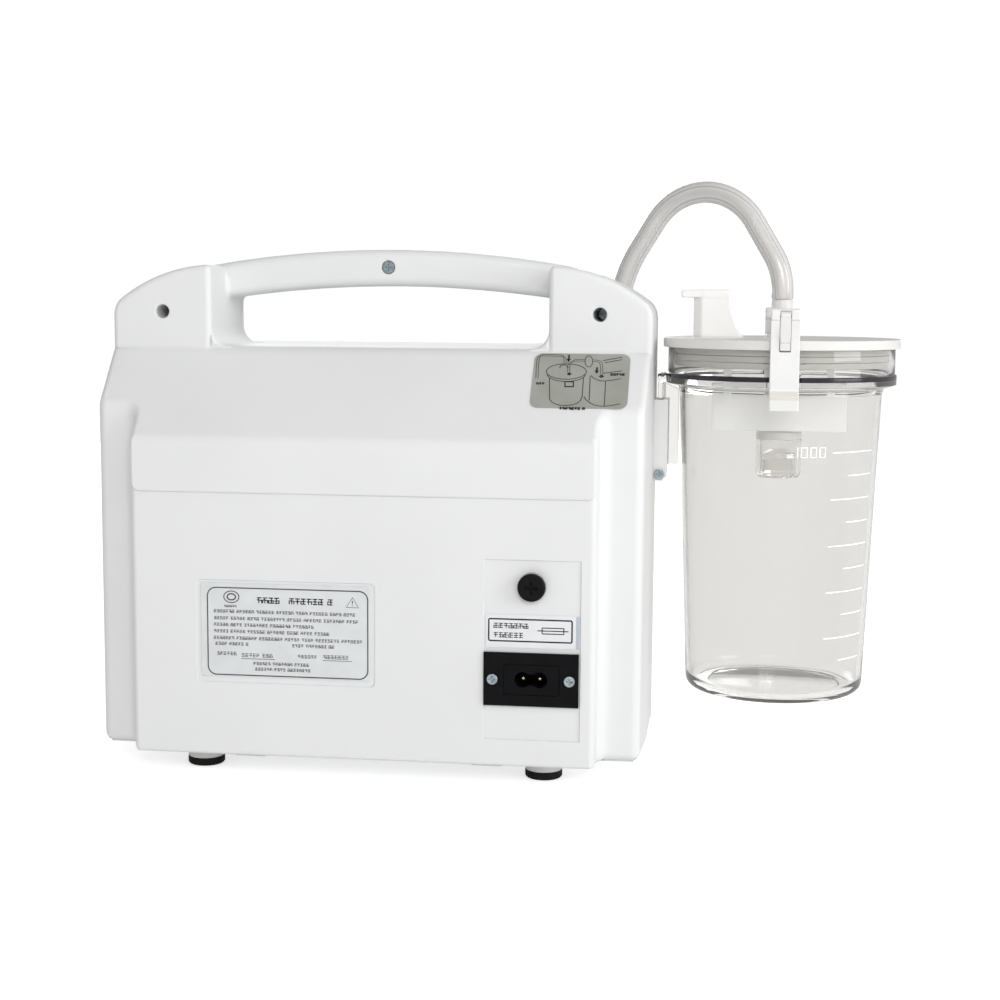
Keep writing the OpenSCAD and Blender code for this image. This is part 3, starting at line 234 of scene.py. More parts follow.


# the crevice darkening set in these finishes is painted shade
MATERIALS = {
    "housing": plastic("housing_abs", (0.80, 0.81, 0.815), rough=0.5, spec=0.35, grain=1700,
                       bump=0.000022, vary=0.025, mottle=14, rvary=0.07, painted_crease_shade=0.25),
    "base": plastic("base_abs", (0.72, 0.73, 0.74), rough=0.55, spec=0.3, bump=0.00003, vary=0.04),
    "foot_cup": plastic("foot_nickel", (0.90, 0.885, 0.865), rough=0.3, metal=0.12, grain=900,
                        bump=0.000008, vary=0.12, stretch=(1, 1, 8), painted_crease_shade=0.2),
    "rubber": plastic("black_rubber", (0.009, 0.0095, 0.011), rough=0.6, spec=0.2, grain=1200,
                      bump=0.00004, vary=0.3),
    "screw": plastic("zinc_blue", (0.50, 0.57, 0.62), rough=0.26, metal=1.0, grain=1400,
                     bump=0.000012, tint=(0.33, 0.42, 0.46), mottle=500, painted_crease_shade=0.6),
    "bracket": plastic("bracket_abs", (0.77, 0.775, 0.78), spec=0.4, bump=0.000015, vary=0.02,
                       painted_crease_shade=0.2),
    "fascia": plastic("front_fascia", (0.30, 0.46, 0.56), rough=0.38, spec=0.4, grain=2600,
                      bump=0.000012, vary=0.04, coat=0.15),
    "black_plastic": plastic("black_abs", (0.018, 0.018, 0.02), rough=0.42, spec=0.4, grain=2000,
                             vary=0.25),
    "dial": plastic("dial_enamel", (0.86, 0.86, 0.84), rough=0.4, spec=0.3, grain=3000,
                    bump=0.000004, vary=0.02),
    "lens": clear("gauge_glass", (0.97, 0.98, 0.98), ior=1.45, rough=0.01, wave=20,
                  wave_h=0.000005),
    "needle": plastic("needle_red", (0.55, 0.03, 0.02), rough=0.4, grain=2500, bump=0.000004,
                      vary=0.1),
    "rocker": plastic("rocker_green", (0.02, 0.20, 0.06), rough=0.3, spec=0.5, grain=2200,
                      bump=0.000006, vary=0.12, coat=0.2),
    "brass": plastic("brass_plated", (0.70, 0.55, 0.30), rough=0.24, metal=1.0, grain=1800,
                     bump=0.000006, vary=0.15),
    "knob": plastic("knob_blue", (0.025, 0.06, 0.14), rough=0.42, grain=2000, vary=0.15),
    "fitting": plastic("white_fitting", (0.78, 0.78, 0.75), rough=0.35, grain=1300,
                       bump=0.000008, subsurf=0.1),
    "tube": clear("silicone_tube", (0.93, 0.93, 0.9), ior=1.41, rough=0.2, haze=0.35),
    "inlet": plastic("inlet_black", (0.0042, 0.0045, 0.0055), rough=0.5, spec=0.1, grain=2200,
                     bump=0.000014, vary=0.3, mottle=120),
    "fuse_clear": clear("fuse_washer", (0.93, 0.95, 0.97), ior=1.49, rough=0.06, haze=0.25),
    "fuse_cap": plastic("fuse_cap_black", (0.005, 0.005, 0.005), rough=0.5, spec=0.14, grain=1700,
                        bump=0.00003, vary=0.3, mottle=300),
    "label": plastic("label_paper", (0.80, 0.82, 0.835), rough=0.5, spec=0.35, grain=2600,
                     bump=0.000004, mottle=60),
    # painted shadow: grey-blue for the shade at the end of the fuse label
    "label_end_shadow": plastic("label_shade", (0.50, 0.56, 0.62), rough=0.5, spec=0.3, grain=2600,
                          bump=0.000004, vary=0.08, mottle=120),
    "plate": plastic("silver_foil", (0.755, 0.78, 0.79), rough=0.42, spec=0.5, metal=0.12,
                     grain=3200, bump=0.00001, vary=0.06, mottle=90, stretch=(1, 1, 0.15)),
    "ink": plastic("print_ink", (0.018, 0.018, 0.02), rough=0.5, spec=0.3, grain=2500,
                   bump=0.000003, vary=0.3),
    "ink_grey": plastic("print_grey", (0.085, 0.088, 0.092), rough=0.5, spec=0.3, grain=2500,
                        bump=0.000003, vary=0.3),
    "ink_white": plastic("print_white", (0.92, 0.93, 0.94), spec=0.3, grain=2500, bump=0.000003),
    "sticker": plastic("sticker_foil", (0.375, 0.38, 0.335), rough=0.36, spec=0.5, metal=0.25,
                       grain=3600, bump=0.000012, mottle=70, tint=(0.42, 0.43, 0.40)),
    "steel": plastic("steel", (0.55, 0.56, 0.58), rough=0.3, metal=1.0, grain=900, bump=0.00001,
                     vary=0.12, stretch=(1, 1, 6)),
    "motor_case": plastic("motor_paint", (0.36, 0.38, 0.4), rough=0.4, metal=0.4, grain=900,
                          bump=0.00003, vary=0.1),
    "stator": plastic("stator_windings", (0.36, 0.13, 0.04), rough=0.4, metal=0.6, grain=700,
                      bump=0.0001, vary=0.4, stretch=(12, 1, 1)),
    "bearing": plastic("bearing_steel", (0.62, 0.63, 0.65), rough=0.2, metal=1.0,
                       bump=0.000004, vary=0.08),
    "rotor": plastic("rotor_laminations", (0.45, 0.46, 0.47), rough=0.35, metal=1.0, grain=400,
                     bump=0.00005, vary=0.2, stretch=(10, 1, 1)),
    "casting": plastic("alloy_casting", (0.50, 0.51, 0.53), rough=0.5, metal=0.9, grain=700,
                       bump=0.00012, vary=0.12),
    "capacitor": plastic("capacitor_can", (0.72, 0.72, 0.74), rough=0.35, metal=0.3, grain=900,
                         bump=0.00001, vary=0.05),
    "wire": plastic("wire_pvc", (0.02, 0.02, 0.03), rough=0.4, bump=0.00001, vary=0.3),
    "jar": clear("jar_clear", (0.85, 0.848, 0.838), ior=1.46, rough=0.008, wave=26,
                 wave_h=0.00003, haze=0.03, haze_color=(0.85, 0.84, 0.82), vary=0.008,
                 shadow=1.12),
    # painted shade: near-black on the clear flange, where the clear plastic looks dark
    "jar_flange_shade": plastic("jar_flange_painted_shade", (0.026, 0.022, 0.034), rough=0.16, spec=0.5,
                        grain=1200, bump=0.000004, vary=0.3, mottle=200, rvary=0.04),
    # painted light: the white print glows to look brighter
    "jar_print": plastic("jar_print", (0.95, 0.95, 0.945), rough=0.5, grain=2500, bump=0.000003,
                         vary=0.04, painted_glow=0.25),
    "lid": plastic("lid_pp", (0.79, 0.785, 0.77), rough=0.4, spec=0.4, grain=1300,
                   bump=0.000018, mottle=30, painted_crease_shade=0.25, subsurf=0.05),
    # painted light: a lighter copy of the lid colour for the brightly lit grip
    "lid_grip_lit": plastic("lid_grip_lit_pp", (0.92, 0.915, 0.905), rough=0.4, spec=0.4, grain=1300,
                        bump=0.000018, vary=0.02, mottle=30, painted_crease_shade=0.2),
    # painted shade: a darker copy of the lid colour for the skirt, in the shade under the lid
    "plug_shaded": plastic("plug_shaded_pp", (0.58, 0.565, 0.54), rough=0.42, spec=0.4, grain=1300,
                    bump=0.000015, vary=0.04),
    "seal": plastic("seal_silicone", (0.55, 0.55, 0.53), rough=0.5, spec=0.35, grain=1200,
                    vary=0.06),
    # painted light: the white baffle glows faintly to look brighter through the jar
    "baffle": plastic("baffle_ps", (0.95, 0.955, 0.96), rough=0.35, bump=0.00001, vary=0.02,
                      painted_glow=0.05),
    "cup": clear("cup_clear", (0.975, 0.97, 0.96), ior=1.49, rough=0.01, wave=40, haze=0.04,
                 haze_color=(0.8, 0.79, 0.75)),
    "float": clear("float_pe", (0.95, 0.945, 0.93), ior=1.2, rough=0.04, wave=60,
                   wave_h=0.00002, haze=0.07, haze_color=(0.8, 0.79, 0.76)),
    "latch": plastic("latch_pom", (0.84, 0.84, 0.835), rough=0.36, bump=0.000012, vary=0.02,
                     painted_crease_shade=0.35),
    # painted shade: a darker beige copy of the latch colour for the crease at the thumb lip
    "latch_bend_shade": plastic("latch_fold_painted_shade", (0.74, 0.72, 0.67), spec=0.4, bump=0.000012),
    "hose": hose_material(),
}


# ---------------------------------------------------------------- pieces from points
def add_piece(name, points, faces, materials, body, replaces=(), smooth=True,
              normals=None, material_index=None):
    """New object from points in the drawing frame. materials are keys of MATERIALS."""
    metres = np.asarray(points, float) / 1000
    metres[:, 0] += ORIGIN_X
    metres[:, 1] += ORIGIN_Y
    mesh = bpy.data.meshes.new(name)
    mesh.from_pydata([tuple(p) for p in metres], [], faces)
    mesh.update()
    mesh.polygons.foreach_set("use_smooth", [smooth] * len(mesh.polygons))
    for key in materials:
        mesh.materials.append(MATERIALS[key])
    if material_index is not None:
        mesh.polygons.foreach_set("material_index", np.asarray(material_index, np.int32))
    if normals is not None:
        mesh.normals_split_custom_set_from_vertices(normals.tolist())
    obj = bpy.data.objects.new(name, mesh)
    coll.objects.link(obj)
    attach(obj, body)
    if replaces:
        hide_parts(*replaces)
    return obj


def outward_faces(obj, hard_angle=None):
    """Turns all faces outward. With hard_angle (degrees), shades smooth between hard edges."""
    bm = bmesh.new()
    bm.from_mesh(obj.data)
    bmesh.ops.recalc_face_normals(bm, faces=bm.faces)
    if hard_angle:
        for edge in bm.edges:
            if len(edge.link_faces) == 2 and edge.calc_face_angle(0) > math.radians(hard_angle):
                edge.smooth = False
        for face in bm.faces:
            face.smooth = True
    bm.to_mesh(obj.data)
    bm.free()


# ---------------------------------------------------------------- distance functions
# A shape is a function of x, y, z that gives the distance to its surface, negative inside.
def smax(a, b, radius):
    """Intersection with a rounded outer edge."""
    outer = np.sqrt(np.maximum(a + radius, 0) ** 2 + np.maximum(b + radius, 0) ** 2)
    return np.minimum(-radius, np.maximum(a, b)) + outer


def smin(a, b, radius):
    """Union with a fillet in the inner corner."""
    inner = np.sqrt(np.maximum(radius - a, 0) ** 2 + np.maximum(radius - b, 0) ** 2)
    return np.maximum(radius, np.minimum(a, b)) - inner


def common(*shapes):
    return reduce(np.maximum, shapes)


def join(*shapes):
    return reduce(np.minimum, shapes)


def cut(shape, tool, radius=0):
    return smax(shape, -tool, radius) if radius else np.maximum(shape, -tool)


def slab(value, low, high):
    return np.maximum(low - value, value - high)


def band(value, middle, half):
    return np.abs(value - middle) - half


def disc(u, v, middle_u, middle_v, radius):
    return np.hypot(u - middle_u, v - middle_v) - radius


# ---------------------------------------------------------------- surfaces from distances
def lines(low, high, step, zones, coarsen=PART_COARSEN):
    """Grid lines, close together around each zone (centre, half width, step)."""
    grow = 0.35
    out = [low]
    x = low
    while x < high:
        size = step * coarsen
        for centre, half, fine in zones:
            fine = fine * coarsen
            size = min(size, fine + grow * max(0.0, abs(x - centre) - half))
            # do not step over a zone that lies ahead
            if x < centre - half:
                size = min(size, max(fine, (centre - half - x) * 0.6 + fine * 0.5))
        x += size
        out.append(x)
    return np.array(out)


def mirrored(half):
    return np.concatenate([-half[::-1], half[1:]])


def gradient(distance, points):
    step = 0.02
    out = np.empty_like(points)
    for axis in range(3):
        shift = np.zeros(3)
        shift[axis] = step
        ahead, behind = points + shift, points - shift
        out[:, axis] = (distance(*ahead.T) - distance(*behind.T)) / (2 * step)
    return out


def surface_nets(distance, xs, ys, zs):
    """Quads around the zero surface, one point per crossed cell, moved onto the surface."""
    shape = (len(xs), len(ys), len(zs))
    values = np.empty(shape, np.float32)
    x = xs.astype(np.float32)[:, None, None]
    y = ys.astype(np.float32)[None, :, None]
    z = zs.astype(np.float32)[None, None, :]
    for i in range(0, shape[0], 16):
        values[i:i + 16] = distance(x[i:i + 16], y, z)
    inside = values < 0
    filled = np.zeros([n - 1 for n in shape], np.int8)
    for corner in product((0, 1), repeat=3):
        filled += inside[tuple(slice(c, n - 1 + c) for c, n in zip(corner, shape))]
    active = (filled > 0) & (filled < 8)
    cells = np.argwhere(active)
    index = np.full(active.shape, -1, np.int32)
    index[active] = np.arange(len(cells), dtype=np.int32)

    def at(grid):
        return np.stack([xs[grid[:, 0]], ys[grid[:, 1]], zs[grid[:, 2]]], 1)

    # start from the mean of the crossings on the twelve edges of each cell
    points = np.zeros((len(cells), 3))
    crossings = np.zeros(len(cells))
    for pair in product((0, 1), repeat=2):
        for axis in range(3):
            start, end = (cells + np.insert(pair, axis, side) for side in (0, 1))
            value, other = (values[tuple(g.T)].astype(float) for g in (start, end))
            crossed = (value < 0) != (other < 0)
            t = np.where(crossed, value / np.where(crossed, value - other, 1), 0)
            first, last = at(start), at(end)
            points += np.where(crossed[:, None], first + t[:, None] * (last - first), 0)
            crossings += crossed
    points /= crossings[:, None]
    low, high = at(cells), at(cells + 1)
    for _ in range(5):
        slope = gradient(distance, points)
        length = distance(*points.T) / np.maximum((slope * slope).sum(1), 0.25)
        points = np.clip(points - length[:, None] * slope, low, high)

    # one quad for each grid edge that the surface crosses
    quads = []
    for axis in range(3):
        near, far = [slice(1, -1)] * 3, [slice(1, -1)] * 3
        near[axis], far[axis] = slice(0, -1), slice(1, None)
        this, after = inside[tuple(near)], inside[tuple(far)]
        offset = np.ones(3, int)
        offset[axis] = 0
        u, v = (axis + 1) % 3, (axis + 2) % 3
        for crossed, turn in ((this & ~after, 1), (~this & after, -1)):
            edges = np.argwhere(crossed) + offset
            corners = []
            for step_u, step_v in ((-1, -1), (0, -1), (0, 0), (-1, 0)):
                cell = edges.copy()
                cell[:, u] += step_u
                cell[:, v] += step_v
                corners.append(index[tuple(cell.T)])
            quads.append(np.stack(corners, 1)[:, ::turn])
    quads = np.concatenate(quads)
    return points, quads[(quads >= 0).all(1)]


def merge_flat(points, quads):
    """Merges the quads of flat areas; returns the points and faces that are left."""
    mesh = bpy.data.meshes.new("tmp")
    count, sides = quads.shape
    mesh.vertices.add(len(points))
    mesh.vertices.foreach_set("co", points.astype(np.float32).ravel())
    mesh.loops.add(count * sides)
    mesh.loops.foreach_set("vertex_index", quads.astype(np.int32).ravel())
    mesh.polygons.add(count)
    mesh.polygons.foreach_set("loop_start", np.arange(0, count * sides, sides, dtype=np.int32))
    mesh.update(calc_edges=True)
    mesh.validate()
    bm = bmesh.new()
    bm.from_mesh(mesh)
    bmesh.ops.dissolve_limit(bm, angle_limit=math.radians(0.12), use_dissolve_boundaries=False,
                             verts=bm.verts, edges=bm.edges, delimit=set())
    bmesh.ops.triangulate(bm, faces=[face for face in bm.faces if len(face.verts) > 4])
    bm.to_mesh(mesh)
    bm.free()
    points = np.empty(len(mesh.vertices) * 3, np.float32)
    mesh.vertices.foreach_get("co", points)
    faces = [tuple(p.vertices) for p in mesh.polygons]
    bpy.data.meshes.remove(mesh)
    return points.reshape(-1, 3).astype(float), faces


def sdf_piece(name, distance, grid, materials, body, replaces=(), paint=None):
    """Object from a distance function. paint picks a material index from a face's centre."""
    points, faces = merge_flat(*surface_nets(distance, *grid))
    normals = gradient(distance, points)
    normals /= np.maximum(np.linalg.norm(normals, axis=1), 1e-9)[:, None]
    index = [paint(*points[list(face)].mean(axis=0)) for face in faces] if paint else None
    add_piece(name, points, faces, materials, body, replaces, normals=normals,
              material_index=index)


# ---------------------------------------------------------------- housing
def shoulder_outline(abs_x, z):
    """Rounded shoulder at each end of the grip, with the sill beside it."""
    outline = smax(disc(abs_x, z, 88, 182, 85), abs_x - HALF_WIDTH, 4)
    outline = smax(outline, 90.5 - abs_x, 3)
    sill = common(slab(abs_x, 80.5, 91.5), slab(z, 223, 234))
    return join(outline, cut(sill, disc(abs_x, z, 80.5, 234, 10)))


def grip(abs_x, y, z, front, rear):
    """Carrying grip between two large arcs."""
    arch = cut(disc(abs_x, z, 0, -297.2, 573), disc(abs_x, z, 0, -393.7, 650))
    return smax(smax(arch, slab(y, front, rear), 5), abs_x - 104, 6)


def add_top(main, shoulder, handle, fade, abs_x, z):
    """Joins shoulder and grip. The fillets fade out where they would reach an outer face."""
    radius = 2.4 * np.clip(fade, 0, 1) * np.clip((138 - abs_x) / 8, 0, 1) + 1e-4
    body = smin(main, shoulder, radius)
    radius = 3.0 * np.clip((264 - z) / 4, 0, 1) * np.clip((93 - abs_x) / 2, 0, 1) + 1e-4
    return smin(body, handle, radius)


def base_boss(abs_x, depth, z, boss_x):
    """Boss for a base screw with its web to the wall. depth is the distance from the middle."""
    boss = disc(abs_x, depth, boss_x, BASE_SCREW_Y, 5)
    web = common(band(abs_x, boss_x, 1.2), band(depth, 76.4, 3.9))
    return common(join(boss, web), slab(z, 16.5, 42))


def base_screw_hole(abs_x, depth, z, boss_x):
    return common(disc(abs_x, depth, boss_x, BASE_SCREW_Y, 1.62), z - 40)


def rear_solid(abs_x, y, z, round_bottom):
    beyond = abs_x - HALF_WIDTH
    side = np.maximum(beyond, beyond * 0.99855 + (y - 30) * 0.05376)  # tapers towards the rear
    plan = smin(smax(side, y - 67.15, 4.5), smax(abs_x - 120.5, y - REAR_Y, 3.2), 7)
    if round_bottom:
        radius = 1.8 + 3.7 * np.clip((abs_x - 118) / 6, 0, 1)
        plan = smax(plan, BOTTOM_Z - z, radius)
    slope = (y - REAR_Y) * SLOPE_SIN + (z - SLOPE_Z) * SLOPE_COS
    main = smax(plan, smax(slope, z - TOP_Z, 4), 3)
    # raised band across the face below the slope
    raised = smax(smax(abs_x - 119.5, 150.5 - z, 4), y - 83.7, 1.2)
    main = join(main, common(smax(raised, slope, 2.5), 78 - y))
    shoulder = smax(shoulder_outline(abs_x, z), y - 36.5, 3)
    return add_top(main, shoulder, grip(abs_x, y, z, -60, 7.2), (y - 33) / 3, abs_x, z)


def rear_shell(x, y, z):
    abs_x = np.abs(x)
    outside = rear_solid(abs_x, y, z, True)
    shell = cut(outside, rear_solid(abs_x, y, z, False) + WALL)
    bosses = join(
        common(disc(abs_x, z, *SHOULDER_SCREW, 5.5), y - 35.5),
        common(disc(x, z, *HANDLE_SCREW, 5), y - 6.2),
        base_boss(abs_x, y, z, REAR_BASE_SCREW_X))
    shell = join(shell, common(bosses, outside + 0.4))
    # lug under the jar bracket
    lug = smax(smax(-150.9 - x, x + 143.5, 0.8), slab(y, -22.4, -10.1), 0.6)
    shell = join(shell, smax(lug, slab(z, 153, 160.5), 0.6))
    # screw wells and holes
    shell = cut(shell, common(disc(abs_x, z, *SHOULDER_SCREW, 3.65), -2 - y), 0.5)
    shell = cut(shell, disc(abs_x, z, *SHOULDER_SCREW, 1.8))
    shell = cut(shell, common(disc(x, z, *HANDLE_SCREW, 3.6), 4.4 - y), 0.5)
    shell = cut(shell, disc(x, z, *HANDLE_SCREW, 1.8))
    shell = cut(shell, base_screw_hole(abs_x, y, z, REAR_BASE_SCREW_X))
    # recesses around the inlet and fuse, and for the nameplate
    recess = common(slab(x, -112.8, -64), slab(z, 27.5, 119.6))
    shell = cut(shell, common(recess, 81.9 - y), 0.35)
    recess = smax(slab(x, -7.7, 85.8), slab(z, 52, 105.4), 2.5)
    shell = cut(shell, common(recess, 82.1 - y), 0.25)
    # inlet opening, fuse hole and the two inlet screws
    openings = join(
        common(slab(x, -104.3, -71.9), slab(z, 48.75, 69.15)),
        disc(x, z, -88.2, 106.4, 6.25),
        disc(np.abs(x + 88.1), z, 19.55, 58.95, 1.32))
    shell = cut(shell, common(openings, 60 - y))
    # hole in the lug, and two holes in the side wall beside the jar
    shell = cut(shell, common(disc(x, z, -147.7, 156.7, 1.32), y))
    shell = cut(shell, common(disc(np.abs(y - JAR_Y), z, 11.3, 186, 1.4), x + 130))
    return smax(shell, PARTING_Y - y, 0.5)


def front_solid(abs_x, y, z, round_bottom):
    over_x, over_y = abs_x - 87.5, -y - 25.5
    plan = (np.hypot(np.maximum(over_x, 0), np.maximum(over_y, 0))
            + np.minimum(np.maximum(over_x, over_y), 0) - 57)
    if round_bottom:
        plan = smax(plan, BOTTOM_Z - z, 3.5)
    shoulder = smax(shoulder_outline(abs_x, z), -30 - y, 3)
    return add_top(smax(plan, z - TOP_Z, 4.5), shoulder, grip(abs_x, y, z, -30, 60),
                   (-26.5 - y) / 3, abs_x, z)


def front_shell(x, y, z):
    abs_x = np.abs(x)
    outside = front_solid(abs_x, y, z, True)
    shell = cut(outside, front_solid(abs_x, y, z, False) + WALL)
    # thicker wall behind the panel, and screw bosses
    backing = common(abs_x - 78, band(y, -79.9, 1.6), slab(z, 42, 208))
    bosses = common(join(disc(abs_x, z, *SHOULDER_SCREW, 4.5), disc(x, z, *HANDLE_SCREW, 4.5)),
                    -29 - y)
    inner = join(backing, bosses, base_boss(abs_x, -y, z, FRONT_BASE_SCREW_X))
    shell = join(shell, common(inner, outside + 0.4))
    # panel recess, then the holes behind it
    recess = smax(abs_x - 80, slab(z, 40, 210), 10)
    shell = cut(shell, common(recess, y + 81.3), 0.25)
    openings = join(
        disc(x, z, *GAUGE, 28.2), disc(x, z, *REGULATOR, 6.2),
        common(band(x, SWITCH[0], 10.9), band(z, SWITCH[1], 15.3)))
    shell = cut(shell, common(openings, y + 70))
    # screw holes
    holes = join(disc(abs_x, z, *SHOULDER_SCREW, 1.62), disc(x, z, *HANDLE_SCREW, 1.62))
    shell = cut(shell, common(holes, -28.8 - y))
    shell = cut(shell, base_screw_hole(abs_x, -y, z, FRONT_BASE_SCREW_X))
    shell = cut(shell, common(disc(x, y, *HOSE_PORT, 5.1), 215 - z), 0.3)
    return smax(shell, y - PARTING_Y, 0.5)


def shell_lines(low, high, zones):
    return lines(low, high, 2.6, zones, SHELL_COARSEN)


def shell_columns(zones, ranges, singles=()):
    """Grid lines across x: mirrored zones, plus lines at features that lie on one side."""
    extra = [np.arange(*limits) for limits in ranges] + [singles]
    xs = np.concatenate([mirrored(shell_lines(0, 146.4, zones))] + extra)
    xs = np.unique(np.round(xs, 3))
    return xs[np.concatenate([[True], np.diff(xs) > 0.18])]


# zones: centre, half width, step; ranges: start, stop, step
def rear_grid():
    xs = shell_columns(
        [(80.5, 0.5, 1.2), (90.5, 2.5, 0.7), (104, 1.5, 1.2), (117, 4.2, 0.9), (120.3, 1.6, 0.6),
         (132, 14, 1.7), (143.2, 1.4, 0.8)],
        [(-113.6, -111.9, 0.4), (-105.0, -103.4, 0.4), (-72.8, -71, 0.4), (-64.8, -63, 0.4),
         (-95, -81.5, 0.9), (-9, -6.4, 0.5), (82.8, 87, 0.5), (-109.2, -106, 0.6),
         (-70.2, -67, 0.6), (-4.5, 4.6, 0.9)],
        [-151.6, -150.9, -150.3, -149.6, -148.8, -148, -147.2, -146.3])
    ys = shell_lines(-23.4, 86, [
        (-22.6, 0.9, 0.4), (7, 2.2, 0.8), (36, 2.6, 0.7), (57, 26, 1.75), (66, 2.4, 0.9),
        (82.6, 2.2, 0.32)])
    zs = shell_lines(12.1, 277.5, [
        (15, 2.4, 0.8), (198, 24, 1.8), (250, 22, 1.5), (27.5, 0.6, 0.5), (48.75, 0.6, 0.5),
        (52.2, 1.2, 0.5), (59, 2, 0.7), (69.1, 0.6, 0.5), (104.6, 8, 0.6), (119.6, 0.6, 0.5),
        (151.5, 2.2, 0.5), (179, 3, 0.9), (224, 1.6, 0.7), (231, 4, 1.2), (242, 4.4, 0.9),
        (252, 4, 1.0), (266.5, 5.5, 0.8), (275, 1.4, 0.6)])
    return xs, ys, zs


def front_grid():
    xs = shell_columns(
        [(60, 4, 1.6), (79.7, 1.0, 0.7), (90.5, 2.5, 0.8), (104, 1.5, 1.2), (117, 2, 1.0),
         (118, 28, 1.7), (143.2, 1.4, 0.9)],
        [(-57.5, -53.5, 0.7), (-2, 1.6, 0.7), (39, 41, 0.5), (51, 53, 0.5), (34, 36, 0.5),
         (56, 58, 0.5), (-127, -115, 0.8)])
    ys = shell_lines(-83.4, -21.6, [
        (-82, 1.2, 0.4), (-60, 22, 1.7), (-52.5, 5, 0.9), (-29, 2.5, 0.7), (-22.4, 0.9, 0.4)])
    zs = shell_lines(12.1, 277.5, [
        (15, 2.4, 0.8), (250, 22, 1.5), (40, 0.8, 0.6), (62.7, 0.6, 0.5), (93.3, 0.6, 0.5),
        (121.8, 1, 0.8), (178.2, 1, 0.8), (210, 0.8, 0.6), (222, 2.5, 0.7), (231, 4, 1.2),
        (252, 4, 1.0), (266.5, 5.5, 0.9), (275, 1.4, 0.6)])
    return xs, ys, zs


sdf_piece("housing_rear", rear_shell, rear_grid(), ["housing"], "housing",
          ["rear_shell"])
sdf_piece("housing_front", front_shell, front_grid(), ["housing"], "housing",
          ["front_shell"])


# ---------------------------------------------------------------- lid
def lid(x, y, z):
    x, y = x - JAR_X, y - JAR_Y
    abs_x, abs_y = np.abs(x), np.abs(y)
    radial = np.hypot(x, y)
    shape = smax(radial - 62.7, band(z, 227.5, 2.5), 0.5)
    # skirt inside the jar, with a groove for the seal
    skirt = smax(smax(radial - 56.9, 52 - radial, 0.6), 215 - z, 0.6)
    skirt = cut(common(skirt, z - 226), common(55.4 - radial, band(z, 220, 1.5)))
    shape = smin(shape, skirt, 0.4)
    # stepped spout in the middle, which takes the hose
    neck = smin(smax(radial - 8.5, z - 232, 0.8), smax(radial - 5.6, z - 250.5, 0.6), 0.8)
    neck = join(neck, smax(radial - 3.62, z - 254.5, 0.4))
    shape = smin(shape, common(neck, 228 - z), 0.6)
    # second spout towards the front, and the sockets below both
    port_radial = np.hypot(x + 2.7, y + 38.6)
    port = smin(smax(port_radial - 7, z - 233, 0.8), smax(port_radial - 4, z - 245, 0.6), 0.8)
    shape = smin(shape, common(port, 228 - z), 0.6)
    shape = smin(shape, common(smax(port_radial - 4.5, 204 - z, 0.5), z - 227), 0.6)
    shape = smin(shape, common(smax(radial - 10, 219 - z, 0.4), z - 227), 0.6)
    # lifting grip beside the housing: a column with a hollowed side, and a flat top
    column = common(slab(x, 18, 46.8), slab(z, 228, 255.3))
    column = cut(column, disc(x, z, -7, 251.3, 34.4), 0.7)
    chamfer = (x + abs_y - (46.8 + 10 - 4)) * 0.7071
    column = smax(smax(column, abs_y - 10, 0.9), chamfer, 0.5)
    top = smax(smax(smax(27.4 - x, x - 53.5, 1.0), abs_y - 10, 1.0), band(z, 253.3, 2), 0.6)
    shape = smin(shape, common(smin(column, top, 0.6), 228.5 - z), 0.9)
    # hinge lugs for the latches
    foot = smax(smax(abs_x - 2.6, slab(abs_y, 55, 66), 0.4), slab(z, 225, 230.5), 0.3)
    lug = common(abs_x - 2.6, band(abs_y, 63.95, 2.45), slab(z, 229, PIVOT[1]))
    lug = join(lug, common(abs_x - 2.6, disc(abs_y, z, *PIVOT, 2.6)))
    shape = join(shape, foot, smax(lug, abs_x - 2.6, 0.3))
    # bores, a ring recess inside the middle socket, and the pin holes
    shape = cut(shape, common(radial - 2.2, 210 - z))
    shape = cut(shape, port_radial - 2.4)
    shape = cut(shape, common(radial - 7.1, slab(z, 218, 224)))
    return cut(shape, common(disc(abs_y, z, *PIVOT, 1), abs_x - 3))


def lid_paint(x, y, z):
    # painted shade: the skirt under the lid top takes the darker copy of the lid colour
    if z < 224.6:
        return 1
    # painted light: the top of the grip takes the lighter copy of the lid colour
    return 2 if z > 231 and x > JAR_X + 17 else 0


def lid_grid():
    xs = JAR_X + lines(-64, 64, 1.9, [
        (-62, 1.2, 0.8), (-56.5, 1.2, 0.8), (0, 9, 0.55), (23.5, 6, 0.9), (47.5, 2, 0.6),
        (53, 1.2, 0.6), (62, 1.2, 0.8)])
    ys = JAR_Y + mirrored(lines(0, 67.4, 1.9, [
        (0, 8.5, 0.6), (9.6, 1.0, 0.5), (38.6, 6, 0.7), (62, 2.5, 0.5), (65.8, 1, 0.45)]))
    zs = lines(203, 257, 1.9, [
        (204.5, 0.6, 0.5), (215.4, 0.6, 0.4), (218.5, 0.6, 0.4), (221.5, 0.6, 0.4),
        (225.4, 0.8, 0.3), (229.8, 1.0, 0.3), (232.2, 1.0, 0.45), (244.4, 3, 0.6),
        (252.8, 3.4, 0.5)])
    return xs, ys, zs


sdf_piece("lid_moulding", lid, lid_grid(), ["lid", "plug_shaded", "lid_grip_lit"], "lid", ["lid"],
          paint=lid_paint)


